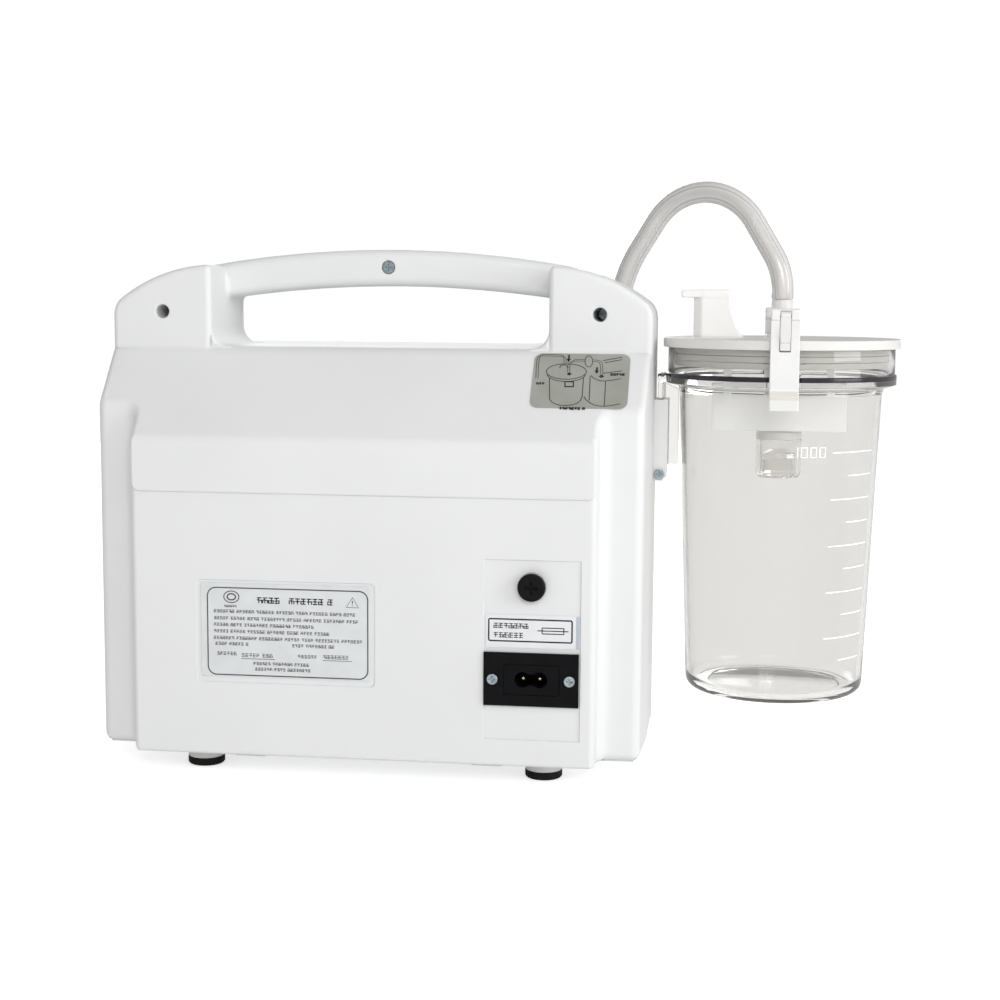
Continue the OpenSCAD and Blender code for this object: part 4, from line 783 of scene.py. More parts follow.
# ---------------------------------------------------------------- latches
def latch_piece(name, sign, body, replaced):
    """Swinging latch; sign is +1 on the rear of the lid and -1 on the front."""
    def latch(x, y, z):
        x, y = x - JAR_X, (y - JAR_Y) * sign
        side = np.abs(x) - LATCH_HALF
        strap = smax(smax(side, band(y, 64.2, 1.1), 0.5), slab(z, 203, 241), 0.3)
        head = smax(band(y, PIVOT[0], 2.4), slab(z, 239.5, 246), 1.6)
        head = smax(head, side, 0.8)
        wedge = common(65.2 - y, 231.8 - z, (y - 65.3) * 0.9897 - (z - 232) * 0.1431, z - 240)
        wedge = smax(wedge, side, 0.5)
        shape = smin(strap, join(head, wedge), 0.3)
        # claw under the flange, and the thumb lip that leans out
        claw = smax(slab(y, 60.4, 65.3), slab(z, 201.2, 205.4), 0.4)
        inner_face = (y - 66.4) * 0.868 + (z - 195) * 0.496
        outer_face = (y - 68.2) * 0.9 + (z - 195) * 0.435
        lip = smax(common(-inner_face, outer_face), slab(z, 195, 203.2), 0.35)
        low_end = smax(smin(claw, common(lip, slab(y, 62.8, 68.4)), 0.8), side, 0.6)
        shape = smin(shape, low_end, 0.4)
        # slot for the hinge lug, and the pin hole
        shape = cut(shape, smax(np.abs(x) - 2.8, slab(z, 224.3, 245.3), 0.6), 0.35)
        return cut(shape, disc(y, z, *PIVOT, 1.05))

    def paint(x, y, z):
        # painted shade along the crease where the thumb lip leans out
        return 1 if 200.2 < z < 204.2 and (y - JAR_Y) * sign > 65.0 else 0

    xs = JAR_X + lines(-8, 8, 0.8, [(-7.1, 0.7, 0.25), (-3, 0.8, 0.25), (3, 0.8, 0.25),
                                    (7.1, 0.7, 0.25)])
    ys = np.sort(JAR_Y + sign * lines(59.6, 69, 0.5, [(62.5, 1.6, 0.25), (65.6, 0.9, 0.22)]))
    zs = lines(194, 247, 1.1, [(195.2, 0.6, 0.3), (203, 2.8, 0.35), (219.6, 0.7, 0.3),
                               (223.8, 1.2, 0.3), (240, 1.0, 0.4), (244.5, 1.8, 0.3)])
    sdf_piece(name, latch, (xs, ys, zs), ["latch", "latch_bend_shade"], body, [replaced],
              paint=paint)


latch_piece("latch_rear_moulding", 1, "rear_clip", "latch_rear")
latch_piece("latch_front_moulding", -1, "front_clip", "latch_front")


# ---------------------------------------------------------------- raised print
# seven-segment numerals on a unit box: ends of each segment, and the segments of each digit
SEGMENT_ENDS = {
    "a": ((0, 1), (1, 1)), "b": ((1, 1), (1, 0.5)), "c": ((1, 0.5), (1, 0)),
    "d": ((0, 0), (1, 0)), "e": ((0, 0), (0, 0.5)), "f": ((0, 0.5), (0, 1)),
    "g": ((0, 0.5), (1, 0.5))}
DIGIT_SEGMENTS = {"0": "abcdef", "1": "bc", "2": "abged", "4": "fgbc", "6": "afedcg",
                  "8": "abcdefg"}


def digit_strokes(digit, left, foot, width, height):
    return [[(left + width * u, foot + height * v) for u, v in SEGMENT_ENDS[segment]]
            for segment in DIGIT_SEGMENTS[digit]]


def ellipse(middle_u, middle_v, radius_u, radius_v, count):
    turns = [math.radians(360 * i / count) for i in range(count)]
    return [(middle_u + radius_u * math.cos(t), middle_v + radius_v * math.sin(t)) for t in turns]


def rounded_box(u0, u1, v0, v1, radius, count):
    out = []
    for u, v, start in ((u1 - radius, v1 - radius, 0), (u0 + radius, v1 - radius, 90),
                        (u0 + radius, v0 + radius, 180), (u1 - radius, v0 + radius, 270)):
        for i in range(count + 1):
            turn = math.radians(start + 90 * i / count)
            out.append((u + radius * math.cos(turn), v + radius * math.sin(turn)))
    return out


def random_source(seed):
    """Returns a function that gives the next repeatable number from 0 to 1."""
    state = seed

    def draw():
        nonlocal state
        state = (state * 1103515245 + 12345) % 2147483648
        return state / 2147483648
    return draw


def upright_sheet(y, outward):
    """Places artwork (x, z, height above the sheet) on a sheet at y that faces outward * Y."""
    return lambda across, rise, height: (across, y + outward * height, rise)


class Print:
    """Artwork collected as closed ribbons and blocks, from foot to top above its sheet."""

    def __init__(self, place, foot=-0.03, top=0.05):
        self.place, self.foot, self.top = place, foot, top
        self.points, self.faces, self.inks = [], [], []

    def add(self, points, faces, ink=0):
        start = len(self.points)
        self.points += points
        self.faces += [tuple(i + start for i in face) for face in faces]
        self.inks += [ink] * len(faces)

    def block(self, *ranges, ink=0):
        """Box between the (low, high) pairs in x, y and z."""
        self.add(list(product(*ranges)), [(0, 1, 3, 2), (4, 6, 7, 5), (0, 4, 5, 1), (2, 3, 7, 6),
                                          (0, 2, 6, 4), (1, 5, 7, 3)], ink)

    def ribbon(self, path, width, ink=0, closed=False, top=None):
        top = self.top if top is None else top
        path = [np.array(p, float) for p in path]
        count = len(path)
        points, faces = [], []
        for i in range(count):
            if closed:
                before, after = path[i - 1], path[(i + 1) % count]
            else:
                before, after = path[max(i - 1, 0)], path[min(i + 1, count - 1)]
            along = after - before
            along /= max(np.linalg.norm(along), 1e-9)
            offset = np.array([-along[1], along[0]]) * width / 2
            for height in (self.foot, top):
                points += [self.place(*(path[i] + offset), height),
                           self.place(*(path[i] - offset), height)]
        for i in range(count if closed else count - 1):
            a, b = 4 * i, 4 * ((i + 1) % count)
            faces += [(a + 2, a + 3, b + 3, b + 2), (a, b, b + 1, a + 1),
                      (a, a + 2, b + 2, b), (a + 1, b + 1, b + 3, a + 3)]
        if not closed:
            end = 4 * count - 4
            faces += [(0, 1, 3, 2), (end, end + 2, end + 3, end + 1)]
        self.add(points, faces, ink)

    def small_print(self, start, end, foot, height, draw, width, ink=0):
        """A row of made-up block marks, in words, that reads as small print."""
        direction = 1 if end > start else -1
        length = abs(end - start)
        run = 0.0
        left_in_word = 4 + int(draw() * 5)
        while run + height * 0.8 <= length:
            if left_in_word == 0:
                run += height * 0.6
                left_in_word = 4 + int(draw() * 5)
                continue
            wide = height * 0.82
            near, far = start + direction * run, start + direction * (run + wide)
            stem = start + direction * (run + wide * (0.35 + 0.3 * draw()))

            def stroke(u0, v0, u1, v1):
                self.ribbon([(u0, foot + height * v0), (u1, foot + height * v1)], width, ink)
            stroke(near, 0.94, far, 0.94)
            stroke(near, 0.42 + 0.2 * draw(), far, 0.5)
            if draw() < 0.6:
                stroke(near, 0.06, far, 0.06)
            stroke(stem, 0, stem, 1)
            for side in (near, far):
                if draw() < 0.45:
                    stroke(side, 0, side, 0.6)
            run += wide + height * 0.2
            left_in_word -= 1

    def build(self, name, materials, body):
        outward_faces(add_piece(name, self.points, self.faces, materials, body,
                                smooth=False, material_index=self.inks))


# ---------------------------------------------------------------- jar
# section of the wall: radius, z, corner radius; outside from the bottom up, then down the inside
JAR_PROFILE = [
    (0, 40.8, 0), (35.2, 40.8, 0.5), (36.2, 40, 0.4), (47.43, 40, 7), (53.6, 201, 4),
    (54.6, 204, 1.2), (61, 205.9, 0.5), (61, 208.8, 0), (61, 211.1, 0.7), (60.05, 211.3, 0.1),
    (60.0, 225, 0.5), (57.5, 225, 0.5), (57.5, 209.2, 0.8), (51.6, 209.2, 0.8), (51.1, 201, 4),
    (45.0, 43, 6), (0, 43, 0)]


def round_corners(corners, steps=6):
    """Closed polyline through (u, v, radius) corners, each rounded by its radius."""
    out = []
    count = len(corners)
    for i in range(count):
        before, corner, after = (np.array(corners[(i + d) % count][:2], float)
                                 for d in (-1, 0, 1))
        radius = corners[i][2]
        if radius <= 0:
            out.append(tuple(corner))
            continue
        back, ahead = before - corner, after - corner
        back_length, ahead_length = np.linalg.norm(back), np.linalg.norm(ahead)
        back, ahead = back / back_length, ahead / ahead_length
        angle = math.acos(float(back @ ahead))
        reach = min(radius / math.tan(angle / 2), back_length * 0.48, ahead_length * 0.48)
        radius = reach * math.tan(angle / 2)
        inward = (back + ahead) / np.linalg.norm(back + ahead)
        centre = corner + inward * (radius / math.sin(angle / 2))
        start = math.atan2(*(corner + back * reach - centre)[::-1])
        end = math.atan2(*(corner + ahead * reach - centre)[::-1])
        sweep = (end - start + math.pi) % (2 * math.pi) - math.pi
        for step in range(steps + 1):
            t = start + sweep * step / steps
            out.append((centre[0] + radius * math.cos(t), centre[1] + radius * math.sin(t)))
    return out


def jar_wall():
    corners = round_corners(JAR_PROFILE)
    # more points up the tall walls, so that the surface shades evenly
    profile = []
    for (r0, z0), (r1, z1) in zip(corners, corners[1:] + corners[:1]):
        profile.append((r0, z0))
        extra = int(np.hypot(r1 - r0, z1 - z0) / 12) if min(r0, r1) > 1e-6 else 0
        profile += [(r0 + (r1 - r0) * i / (extra + 1), z0 + (z1 - z0) * i / (extra + 1))
                    for i in range(1, extra + 1)]
    # flats in the flange under the latches, with close pairs of angles at their ends
    flat = math.degrees(math.asin(8.5 / 61))
    angles = [360 * i / 192 for i in range(192)]
    for middle in (90, 270):
        angles = [a for a in angles if abs(abs(a - middle) - flat) > 0.7]
        angles += [middle - flat - 0.25, middle - flat + 0.25,
                   middle + flat - 0.25, middle + flat + 0.25]
    angles.sort()
    count = len(angles)
    points, rows = [], []
    for radius, z in profile:
        if radius < 1e-6:
            rows.append([len(points)] * count)
            points.append((JAR_X, JAR_Y, z))
            continue
        rows.append(list(range(len(points), len(points) + count)))
        for a in angles:
            in_flat = min(abs(a - 90), abs(a - 270)) < flat
            reach = 60.0 if radius > 60 and z < 212 and in_flat else radius
            points.append((JAR_X + reach * math.cos(math.radians(a)),
                           JAR_Y + reach * math.sin(math.radians(a)), z))
    faces, index = [], []
    for i in range(len(profile)):
        j = (i + 1) % len(profile)
        (r0, z0), (r1, z1) = profile[i], profile[j]
        # the upper part of the flange is painted near-black: painted shade on the clear flange
        dark = min(r0, r1) > 54.7 and 208.8 < (z0 + z1) / 2 < 211.6 and max(r0, r1) > 57.6
        for s in range(count):
            t = (s + 1) % count
            face = tuple(dict.fromkeys((rows[i][s], rows[i][t], rows[j][t], rows[j][s])))
            if len(face) > 2:
                faces.append(face)
                index.append(int(dark))
    wall = add_piece("jar_wall", points, faces, ["jar", "jar_flange_shade"], "jar", ["jar"],
                     material_index=index)
    outward_faces(wall, hard_angle=40)


def jar_hook():
    """Hanging hook on the side towards the housing: a fin, an upright plate and a top."""
    def hook(x, y, z):
        x, y = x - JAR_X, np.abs(y - JAR_Y)
        radial = np.hypot(x, y)
        wall = 53.72 + (z - 201) * 0.0383 - radial
        fin = smax(common(wall, x - 63.5, y - 2), slab(z, 161, 205.2), 0.4)
        fin = common(fin, 54.0 + np.maximum(z - 202, 0) * 2.2 - radial)
        plate = smax(smax(band(x, 63.8, 1.4), y - 9, 0.7), slab(z, 161, 210), 0.7)
        top = smax(smax(common(61.15 - radial, x - 65.2), y - 9, 0.6), band(z, 208.35, 2.35), 0.6)
        return smin(smin(fin, plate, 1.2), top, 0.6)

    xs = JAR_X + lines(45, 66, 0.8, [(62.6, 0.9, 0.35), (65, 0.6, 0.35)])
    ys = JAR_Y + mirrored(lines(0, 9.8, 0.9, [(2, 0.7, 0.35), (8.8, 0.7, 0.35)]))
    zs = lines(160, 212, 1.8, [(161.3, 0.6, 0.35), (206, 1.2, 0.35), (210.3, 0.8, 0.3)])
    # the top of the hook is painted near-black too: painted shade
    sdf_piece("jar_hook", hook, (xs, ys, zs), ["jar", "jar_flange_shade"], "jar",
              paint=lambda x, y, z: int(z > 208.8))


def jar_marks():
    """Graduations around the outside of the wall, and the figure above them."""
    def on_wall(angle, z, height):  # angle in degrees from +Y towards -X
        radius = 47.7 + 5.9 * (z - 47) / 154 + height
        turn = math.radians(angle)
        return (JAR_X - radius * math.sin(turn), JAR_Y + radius * math.cos(turn), z)

    marks = Print(on_wall, foot=0.02, top=0.14)

    def mark(start, end, z, width):
        count = max(2, int(abs(end - start) / 2.5))
        marks.ribbon([(start + (end - start) * i / count, z) for i in range(count + 1)], width)

    line_width = 0.42
    for i, digit in enumerate("1000"):
        for (a0, z0), (a1, z1) in digit_strokes(digit, 5.6 + i * 5.4, 170.4, 3.3, 5.0):
            if abs(z1 - z0) < 1e-6:
                mark(a0, a1, z0, line_width)
            else:
                mark(a0 - 0.24, a0 + 0.24, (z0 + z1) / 2, abs(z1 - z0) + line_width)
    z = 172.6
    for i in range(10):
        mark(30 if i % 2 == 0 else 42, 64, z, 0.55)
        z -= 12.2
    add_piece("jar_marks", marks.points, marks.faces, ["jar_print"], "jar", smooth=False)


jar_wall()
jar_hook()
jar_marks()


# ---------------------------------------------------------------- hose
def hose():
    """Tube that leaves the port, leans over, arches and comes down on the middle of the lid.

    Its centre line lies in one upright plane: a first bend, a straight run, the top arc, a
    straight run and a last bend. Stations are (distance from the port, height, angle turned).
    """
    port_x, port_y = HOSE_PORT
    span = math.hypot(JAR_X - port_x, JAR_Y - port_y)
    heading = math.atan2(JAR_Y - port_y, JAR_X - port_x)
    port_z, first_z, first_radius, first_angle = 226.6, 238.0, 70.0, math.radians(35)
    lid_z, last_z, last_radius, last_angle = 250.6, 254.8, 36.0, math.radians(33)
    top_radius = 36.25
    sin_first, cos_first = math.sin(first_angle), math.cos(first_angle)
    sin_last, cos_last = math.sin(last_angle), math.cos(last_angle)
    # ends of the two bends, then the runs that close the path between them
    first_s = first_radius * (1 - cos_first)
    first_top = first_z + first_radius * sin_first
    last_s = last_radius * (1 - cos_last)
    last_top = last_z + last_radius * sin_last
    across = span - first_s - last_s - top_radius * (cos_first + cos_last)
    rise = last_top - first_top + top_radius * (sin_first - sin_last)
    last_run = ((across * cos_first - rise * sin_first)
                / (sin_last * cos_first + cos_last * sin_first))
    first_run = (across - last_run * sin_last) / sin_first
    top_s = first_s + first_run * sin_first + top_radius * cos_first
    top_z = first_top + first_run * cos_first - top_radius * sin_first

    stations = [(0, port_z, 0), (0, port_z + 0.6, 0), (0, (port_z + first_z) / 2, 0)]
    for i in range(13):
        a = first_angle * i / 12
        stations.append((first_radius * (1 - math.cos(a)), first_z + first_radius * math.sin(a), a))
    for i in range(45):
        a = first_angle + (math.pi - first_angle - last_angle) * i / 44
        stations.append((top_s - top_radius * math.cos(a), top_z + top_radius * math.sin(a), a))
    for i in range(11):
        a = last_angle * (1 - i / 10)
        stations.append((span - last_radius * (1 - math.cos(a)),
                         last_z + last_radius * math.sin(a), math.pi - a))
    stations += [(span, lid_z + 0.6, math.pi), (span, lid_z, math.pi)]

    # out along the outside and back along the bore, with a small chamfer at the ends
    sides = 48
    points = []
    for wall, chamfer, path in ((5.7, -0.35, stations), (3.7, 0.3, stations[::-1])):
        for i, (s, z, a) in enumerate(path):
            radius = wall + chamfer if i in (0, len(path) - 1) else wall
            for j in range(sides):
                t = 2 * math.pi * j / sides
                along = s + radius * math.cos(t) * math.cos(a)
                aside = radius * math.sin(t)
                points.append((port_x + along * math.cos(heading) - aside * math.sin(heading),
                               port_y + along * math.sin(heading) + aside * math.cos(heading),
                               z - radius * math.cos(t) * math.sin(a)))
    faces = []
    rings = len(points) // sides
    for i in range(rings):
        a, b = i * sides, (i + 1) % rings * sides
        for j in range(sides):
            t = (j + 1) % sides
            faces.append((a + j, a + t, b + t, b + j))
    tube = add_piece("hose_tube", points, faces, ["hose"], "lid", ["suction_hose"])
    outward_faces(tube, hard_angle=50)


hose()

# ---------------------------------------------------------------- CAD pieces that stay
# piece, slot, width of the softened edges, and the material where it is not named as the slot
CAD_FINISH = [
    ("base_plate", "base", 0.5), ("foot_cups", "foot_cup", 0.5), ("foot_pads", "rubber", 0.35),
    ("foot_screws", "screw", 0.2), ("case_screws", "screw", 0.28),
    ("handle_screw", "screw", 0.28), ("jar_bracket", "bracket", 0.55),
    ("panel_screws", "screw", 0.25), ("front_panel", "fascia", 0.2),
    ("gauge_case", "black_plastic", 0.3), ("gauge_dial", "dial", 0.1),
    ("gauge_lens", "lens", 0.2), ("gauge_bezel", "black_plastic", 0.9),
    ("gauge_needle", "needle", 0.1), ("switch_frame", "black_plastic", 0.4),
    ("switch_rocker", "rocker", 0.5), ("regulator_valve", "brass", 0.3),
    ("regulator_knob", "knob", 0.5), ("pump_port", "fitting", 0.4),
    ("tube_cross", "fitting", 0.3), ("inner_tubes", "tube", 0.3), ("power_inlet", "inlet", 0.22),
    ("inlet_pins", "brass", 0.1), ("fuse_holder", "fuse_clear", 0.25),
    ("fuse_cap", "black_plastic", 0.22, "fuse_cap"), ("fuse", "fuse", 0.2, "steel"),
    ("fuse_label", "label", 0.1), ("nameplate", "plate", 0.12), ("tube_diagram", "sticker", 0.1),
    ("motor_bracket", "steel", 0.3), ("rubber_mounts", "rubber", 0.4),
    ("motor_case", "motor_case", 0.6), ("motor_stator", "stator", 0.8),
    ("motor_bearings", "bearing", 0.3), ("motor_rotor", "rotor", 0.3),
    ("cooling_fan", "black_plastic", 0.3), ("eccentric", "casting", 0.4),
    ("con_rod", "casting", 0.4), ("diaphragm", "rubber", 0.3), ("clamp_plate", "casting", 0.3),
    ("pump_body", "casting", 0.6), ("valve_plate", "casting", 0.4),
    ("flap_valves", "rubber", 0.1), ("pump_head", "casting", 0.5), ("head_screws", "screw", 0.3),
    ("run_capacitor", "capacitor", 0.8), ("wires", "wire", 0), ("lid_seal", "seal", 0.3),
    ("splash_baffle", "baffle", 0.4), ("float_holder", "fitting", 0.5), ("float_cup", "cup", 0.4),
    ("float", "float", 0.5), ("latch_pins", "steel", 0.15)]


def finish_cad(piece, slot, edge, material=None):
    """Keeps the CAD mesh, and adds a soft edge and clean shading with modifiers."""
    obj = NODES[piece]
    for material_slot in obj.material_slots:
        material_slot.material = MATERIALS[material or slot]
    weld = obj.modifiers.new("weld", "WELD")
    weld.merge_threshold = 2e-6
    if edge > 0:
        planar = obj.modifiers.new("planar", "DECIMATE")
        planar.decimate_type = "DISSOLVE"
        planar.angle_limit = math.radians(0.6)
        bevel = obj.modifiers.new("bevel", "BEVEL")
        bevel.width = edge / 1000
        bevel.segments = 2
        bevel.limit_method = "ANGLE"
        bevel.angle_limit = math.radians(32)
        bevel.use_clamp_overlap = True
        bevel.harden_normals = False
    normals = obj.modifiers.new("normals", "WEIGHTED_NORMAL")
    normals.keep_sharp = False
    normals.weight = 60


for row in CAD_FINISH:
    finish_cad(*row)

# ---------------------------------------------------------------- artwork on the rear
# rows of small print on the nameplate: start x, end x, foot z, height
NAMEPLATE_ROWS = [
    (76.5, 1.5, 88.5, 1.55), (76.5, -0.9, 84.9, 1.55), (76.6, 23.3, 81.5, 1.55),
    (76.6, 14.3, 78.1, 1.55), (76.7, -2.3, 74.6, 1.55), (75.8, 58.3, 71.5, 1.55),
    (35.4, 12.3, 71.5, 1.55), (75.0, 63.7, 66.3, 1.7), (62.0, 45.0, 65.6, 1.9),
    (32.5, 21.1, 65.9, 1.7), (19.2, 4.6, 66.0, 1.9), (55.8, 25.5, 61.6, 1.5),
    (54.9, 25.5, 58.7, 1.5)]


def nameplate_art():
    art = Print(upright_sheet(82.55, 1))
    art.ribbon(rounded_box(-4.2, 79.9, 56, 101.5, 4.5, 10), 0.62, ink=1, closed=True, top=0.06)
    draw = random_source(7)
    # round mark of two rings, with a row below
    art.ribbon(ellipse(67.2, 96.8, 4.0, 3.0, 44), 0.5, ink=1, closed=True)
    art.ribbon(ellipse(67.2, 96.8, 2.2, 1.6, 32), 0.7, ink=1, closed=True)
    art.small_print(71.1, 63.2, 91.4, 1.1, draw, width=0.2, ink=1)
    # title
    for start, end in ((53.7, 41.4), (36.7, 13.6)):
        art.small_print(start, end, 93.9, 3.0, draw, width=0.55)
    # warning triangle
    art.ribbon([(7.0, 93.1), (0.6, 93.0), (3.7, 98.2)], 0.42, closed=True)
    art.ribbon([(3.75, 94.9), (3.75, 96.6)], 0.42)
    art.ribbon([(3.75, 93.9), (3.75, 94.3)], 0.42)
    for start, end, foot, height in NAMEPLATE_ROWS:
        art.small_print(start, end, foot, height, draw, width=0.23)
    # underlines
    for start, end, z in ((62.3, 44.4, 64.7), (19.4, 4.1, 65.1)):
        art.ribbon([(start, z), (end, z)], 0.25)
    art.build("nameplate_print", ["ink", "ink_grey"], "housing")


def fuse_label_art():
    art = Print(upright_sheet(82.3, 1))
    art.ribbon(rounded_box(-108.6, -66.4, 78.4, 89.6, 0.8, 5), 0.75, closed=True)
    # fuse symbol: a bar with the line through it
    art.ribbon(rounded_box(-104.5, -93.5, 82.6, 85.6, 0.2, 2), 0.5, closed=True)
    art.ribbon([(-106.8, 84.1), (-91.2, 84.1)], 0.5)
    draw = random_source(23)
    art.small_print(-69.0, -88.5, 85.0, 2.5, draw, width=0.4)
    art.small_print(-69.0, -86.0, 80.2, 2.5, draw, width=0.4)
    # painted shadow at the end of the label
    art.block((-112.45, -110.6), (82.27, 82.33), (75.2, 91.8), ink=1)
    art.build("fuse_label_print", ["ink", "label_end_shadow"], "housing")


# outlines of the tube diagram, on the slope: distance towards -X, distance down the slope
JAR_RIM = [
    (2.61, 12.67), (2.44, 13.88), (1.76, 15.03), (0.61, 16.08), (-0.96, 16.96), (-2.85, 17.63),
    (-4.99, 18.07), (-7.26, 18.24), (-9.55, 18.15), (-11.75, 17.79), (-13.74, 17.18),
    (-15.44, 16.36), (-16.75, 15.35), (-17.6, 14.22), (-17.96, 13.02), (-17.8, 11.81),
    (-17.13, 10.65), (-15.98, 9.59), (-14.42, 8.7), (-12.51, 8.02), (-10.35, 7.58),
    (-8.07, 7.41), (-5.76, 7.51), (-3.55, 7.88), (-1.55, 8.49), (0.14, 9.33), (1.44, 10.34),
    (2.27, 11.47)]
JAR_OUTLINE = [
    [(2.41, 14.92), (2.0, 16.01), (1.19, 17.04), (0.02, 17.95), (-1.47, 18.71), (-3.21, 19.28),
     (-5.12, 19.66), (-7.14, 19.81), (-9.18, 19.73), (-11.15, 19.43), (-12.97, 18.91),
     (-14.57, 18.21), (-15.88, 17.34), (-16.85, 16.34), (-17.43, 15.26)],
    [(-15.99, 17.17), (-14.78, 32.2)],
    [(1.46, 16.87), (1.64, 29.96)],
    [(-14.78, 32.2), (-13.38, 34.09), (-11.31, 35.49), (-8.76, 36.2), (-6.26, 36.34),
     (-3.45, 35.9), (-0.69, 34.8), (0.95, 32.85), (1.64, 29.96)]]
# tubes drawn as two lines: the middle point, and the share of the offset that moves it each way
DIAGRAM_TUBES = [
    [(-22.45, 17.78, 1, 0), (-22.9, 8.89, 1, 0), (-22.9, 3.9, 1, -0.4), (-22.4, 2.14, 1, -0.6),
     (-21.29, 1.37, 0, -1), (-16.17, 1.39, 0, -1), (-11.04, 1.72, 0, -1), (-9.73, 2.2, -0.6, -1),
     (-9.07, 3.69, -1, 0), (-8.63, 7.17, -1, 0)],
    [(-6.13, 14.05, 1, 0), (-6.56, 12.09, 1, 0), (-6.78, 10.11, 1, 0), (-6.56, 8.13, 1, 0),
     (-5.95, 6.63, 1, 0), (-4.95, 5.42, 0.5, -0.6), (-3.53, 4.85, 0, -1), (-1.0, 4.76, 0, -1),
     (1.54, 4.77, 0, -1)],
    [(5.53, 4.95, 0, -1), (7.35, 5.02, 0, -1), (8.82, 5.4, 0.5, -1), (9.6, 6.28, 1, -0.5),
     (10.05, 7.86, 1, 0), (10.41, 11.31, 1, 0), (10.69, 15.24, 1, 0)]]
SMALL_OVAL = [
    (5.39, 5.45), (5.33, 6.97), (4.99, 8.27), (4.4, 9.13), (3.66, 9.45), (2.88, 9.16),
    (2.18, 8.31), (1.66, 7.03), (1.41, 5.52), (1.46, 3.99), (1.8, 2.69), (2.39, 1.81),
    (3.13, 1.5), (3.92, 1.79), (4.62, 2.64), (5.14, 3.93)]
TUBE_END_MARKS = [
    [(-5.2, 14.53), (-5.9, 15.1), (-6.83, 14.7), (-6.2, 14.0)],
    [(11.5, 15.96), (10.6, 16.6), (9.65, 15.99), (10.4, 15.3)]]
SMALL_ARCH = [
    (-11.28, 10.44), (-11.23, 9.75), (-10.97, 9.12), (-10.52, 8.62), (-9.94, 8.29),
    (-9.28, 8.17), (-8.6, 8.27), (-7.97, 8.58), (-7.45, 9.06), (-7.1, 9.68), (-6.94, 10.36)]
SMALL_BOX = [(-7.85, 19.96), (-3.54, 19.89), (-3.3, 23.29), (-7.59, 23.37)]
HOUSING_OUTLINE = [
    [(10.59, 4.87), (20.56, 2.22)], [(11.77, 6.34), (20.47, 3.97)],
    [(11.14, 13.76), (20.72, 11.87)], [(4.8, 15.83), (5.38, 32.76)],
    [(12.89, 19.11), (13.21, 36.19)],
    [(5.13, 15.33), (6.88, 17.41), (9.29, 18.68), (11.1, 19.09), (12.89, 19.11), (16.78, 18.35),
     (20.65, 17.26)],
    [(2.53, 29.94), (3.56, 32.08), (5.27, 33.72), (6.76, 34.89), (8.59, 35.8), (10.93, 36.33),
     (13.23, 36.42), (17.08, 35.77), (21.07, 34.6)]]


def tube_diagram_art():
    tilt = math.atan2(45, 46)
    sheet_y = 38.8
    sheet_z = SLOPE_Z + (REAR_Y - sheet_y) * math.tan(tilt)

    def on_slope(across, down, height):
        height += 0.33  # thickness of the sticker
        return (-108.75 - across,
                sheet_y + down * math.cos(tilt) + height * math.sin(tilt),
                sheet_z - down * math.sin(tilt) + height * math.cos(tilt))

    art = Print(on_slope, foot=-0.05, top=0.06)
    line_width = 0.5
    art.ribbon(JAR_RIM, line_width, closed=True)
    for path in JAR_OUTLINE:
        art.ribbon(path, line_width)
    for offset in (-0.55, 0.55):
        for tube in DIAGRAM_TUBES:
            art.ribbon([(u + offset * du, v + offset * dv) for u, v, du, dv in tube], 0.34)
    art.ribbon(SMALL_OVAL, 0.45, closed=True)
    for path in TUBE_END_MARKS:
        art.ribbon(path, 1.0, ink=1, closed=True)
    art.ribbon(SMALL_ARCH, line_width)
    art.ribbon(SMALL_BOX, 0.9, ink=1, closed=True)
    for path in HOUSING_OUTLINE:
        art.ribbon(path, line_width)
    # arrows
    for u, start, end in ((-7.05, 1.0, 5.6), (7.95, 9.6, 13.6)):
        art.ribbon([(u, start), (u, end)], 0.9, ink=1)
        art.ribbon([(u - 0.75, end - 1.6), (u, end + 0.2), (u + 0.75, end - 1.6)], 0.8, ink=1,
                   closed=True)
    # captions, which are drawn upwards
    art.place = lambda across, rise, height: on_slope(across, -rise, height)
    draw = random_source(91)
    for start, end, down in ((-22.6, -16.9, 22.2), (15.0, 22.6, 15.2), (-9.3, 5.0, 38.9)):
        art.small_print(start, end, -down, 1.5, draw, width=0.42, ink=1)
    art.build("tube_diagram_print", ["ink_grey", "ink"], "housing")


# ---------------------------------------------------------------- artwork on the front
def gauge_dial_art():
    middle_x, middle_z = GAUGE
    art = Print(upright_sheet(-77, -1))

    def polar(radius, degrees):  # from the lower left, clockwise as seen from the front
        turn = math.radians(225 - degrees)
        return (middle_x + radius * math.cos(turn), middle_z + radius * math.sin(turn))

    art.ribbon([polar(23.2, 270 * i / 90) for i in range(91)], 0.35, top=0.04)
    art.ribbon([polar(21.2, 27 + 243 * i / 80) for i in range(81)], 1.6, ink=1, top=0.03)
    for i in range(51):
        length = 3.6 if i % 10 == 0 else (2.6 if i % 5 == 0 else 1.6)
        art.ribbon([polar(24.2, 5.4 * i), polar(24.2 - length, 5.4 * i)],
                   0.42 if i % 5 == 0 else 0.22)
    wide, gap = 1.5, 0.9
    for i in range(6):
        x, z = polar(15.6, 54 * i)
        figure = str(20 * i)
        total = len(figure) * wide + (len(figure) - 1) * gap
        for j, digit in enumerate(figure):
            left = x - total / 2 + j * (wide + gap)
            for stroke in digit_strokes(digit, left, z - 1.3, wide, 2.6):
                art.ribbon(stroke, 0.4)
    art.small_print(middle_x - 4.2, middle_x + 4.2, middle_z - 11, 1.9, random_source(5),
                    width=0.28)
    art.build("gauge_dial_print", ["ink", "rocker"], "housing")


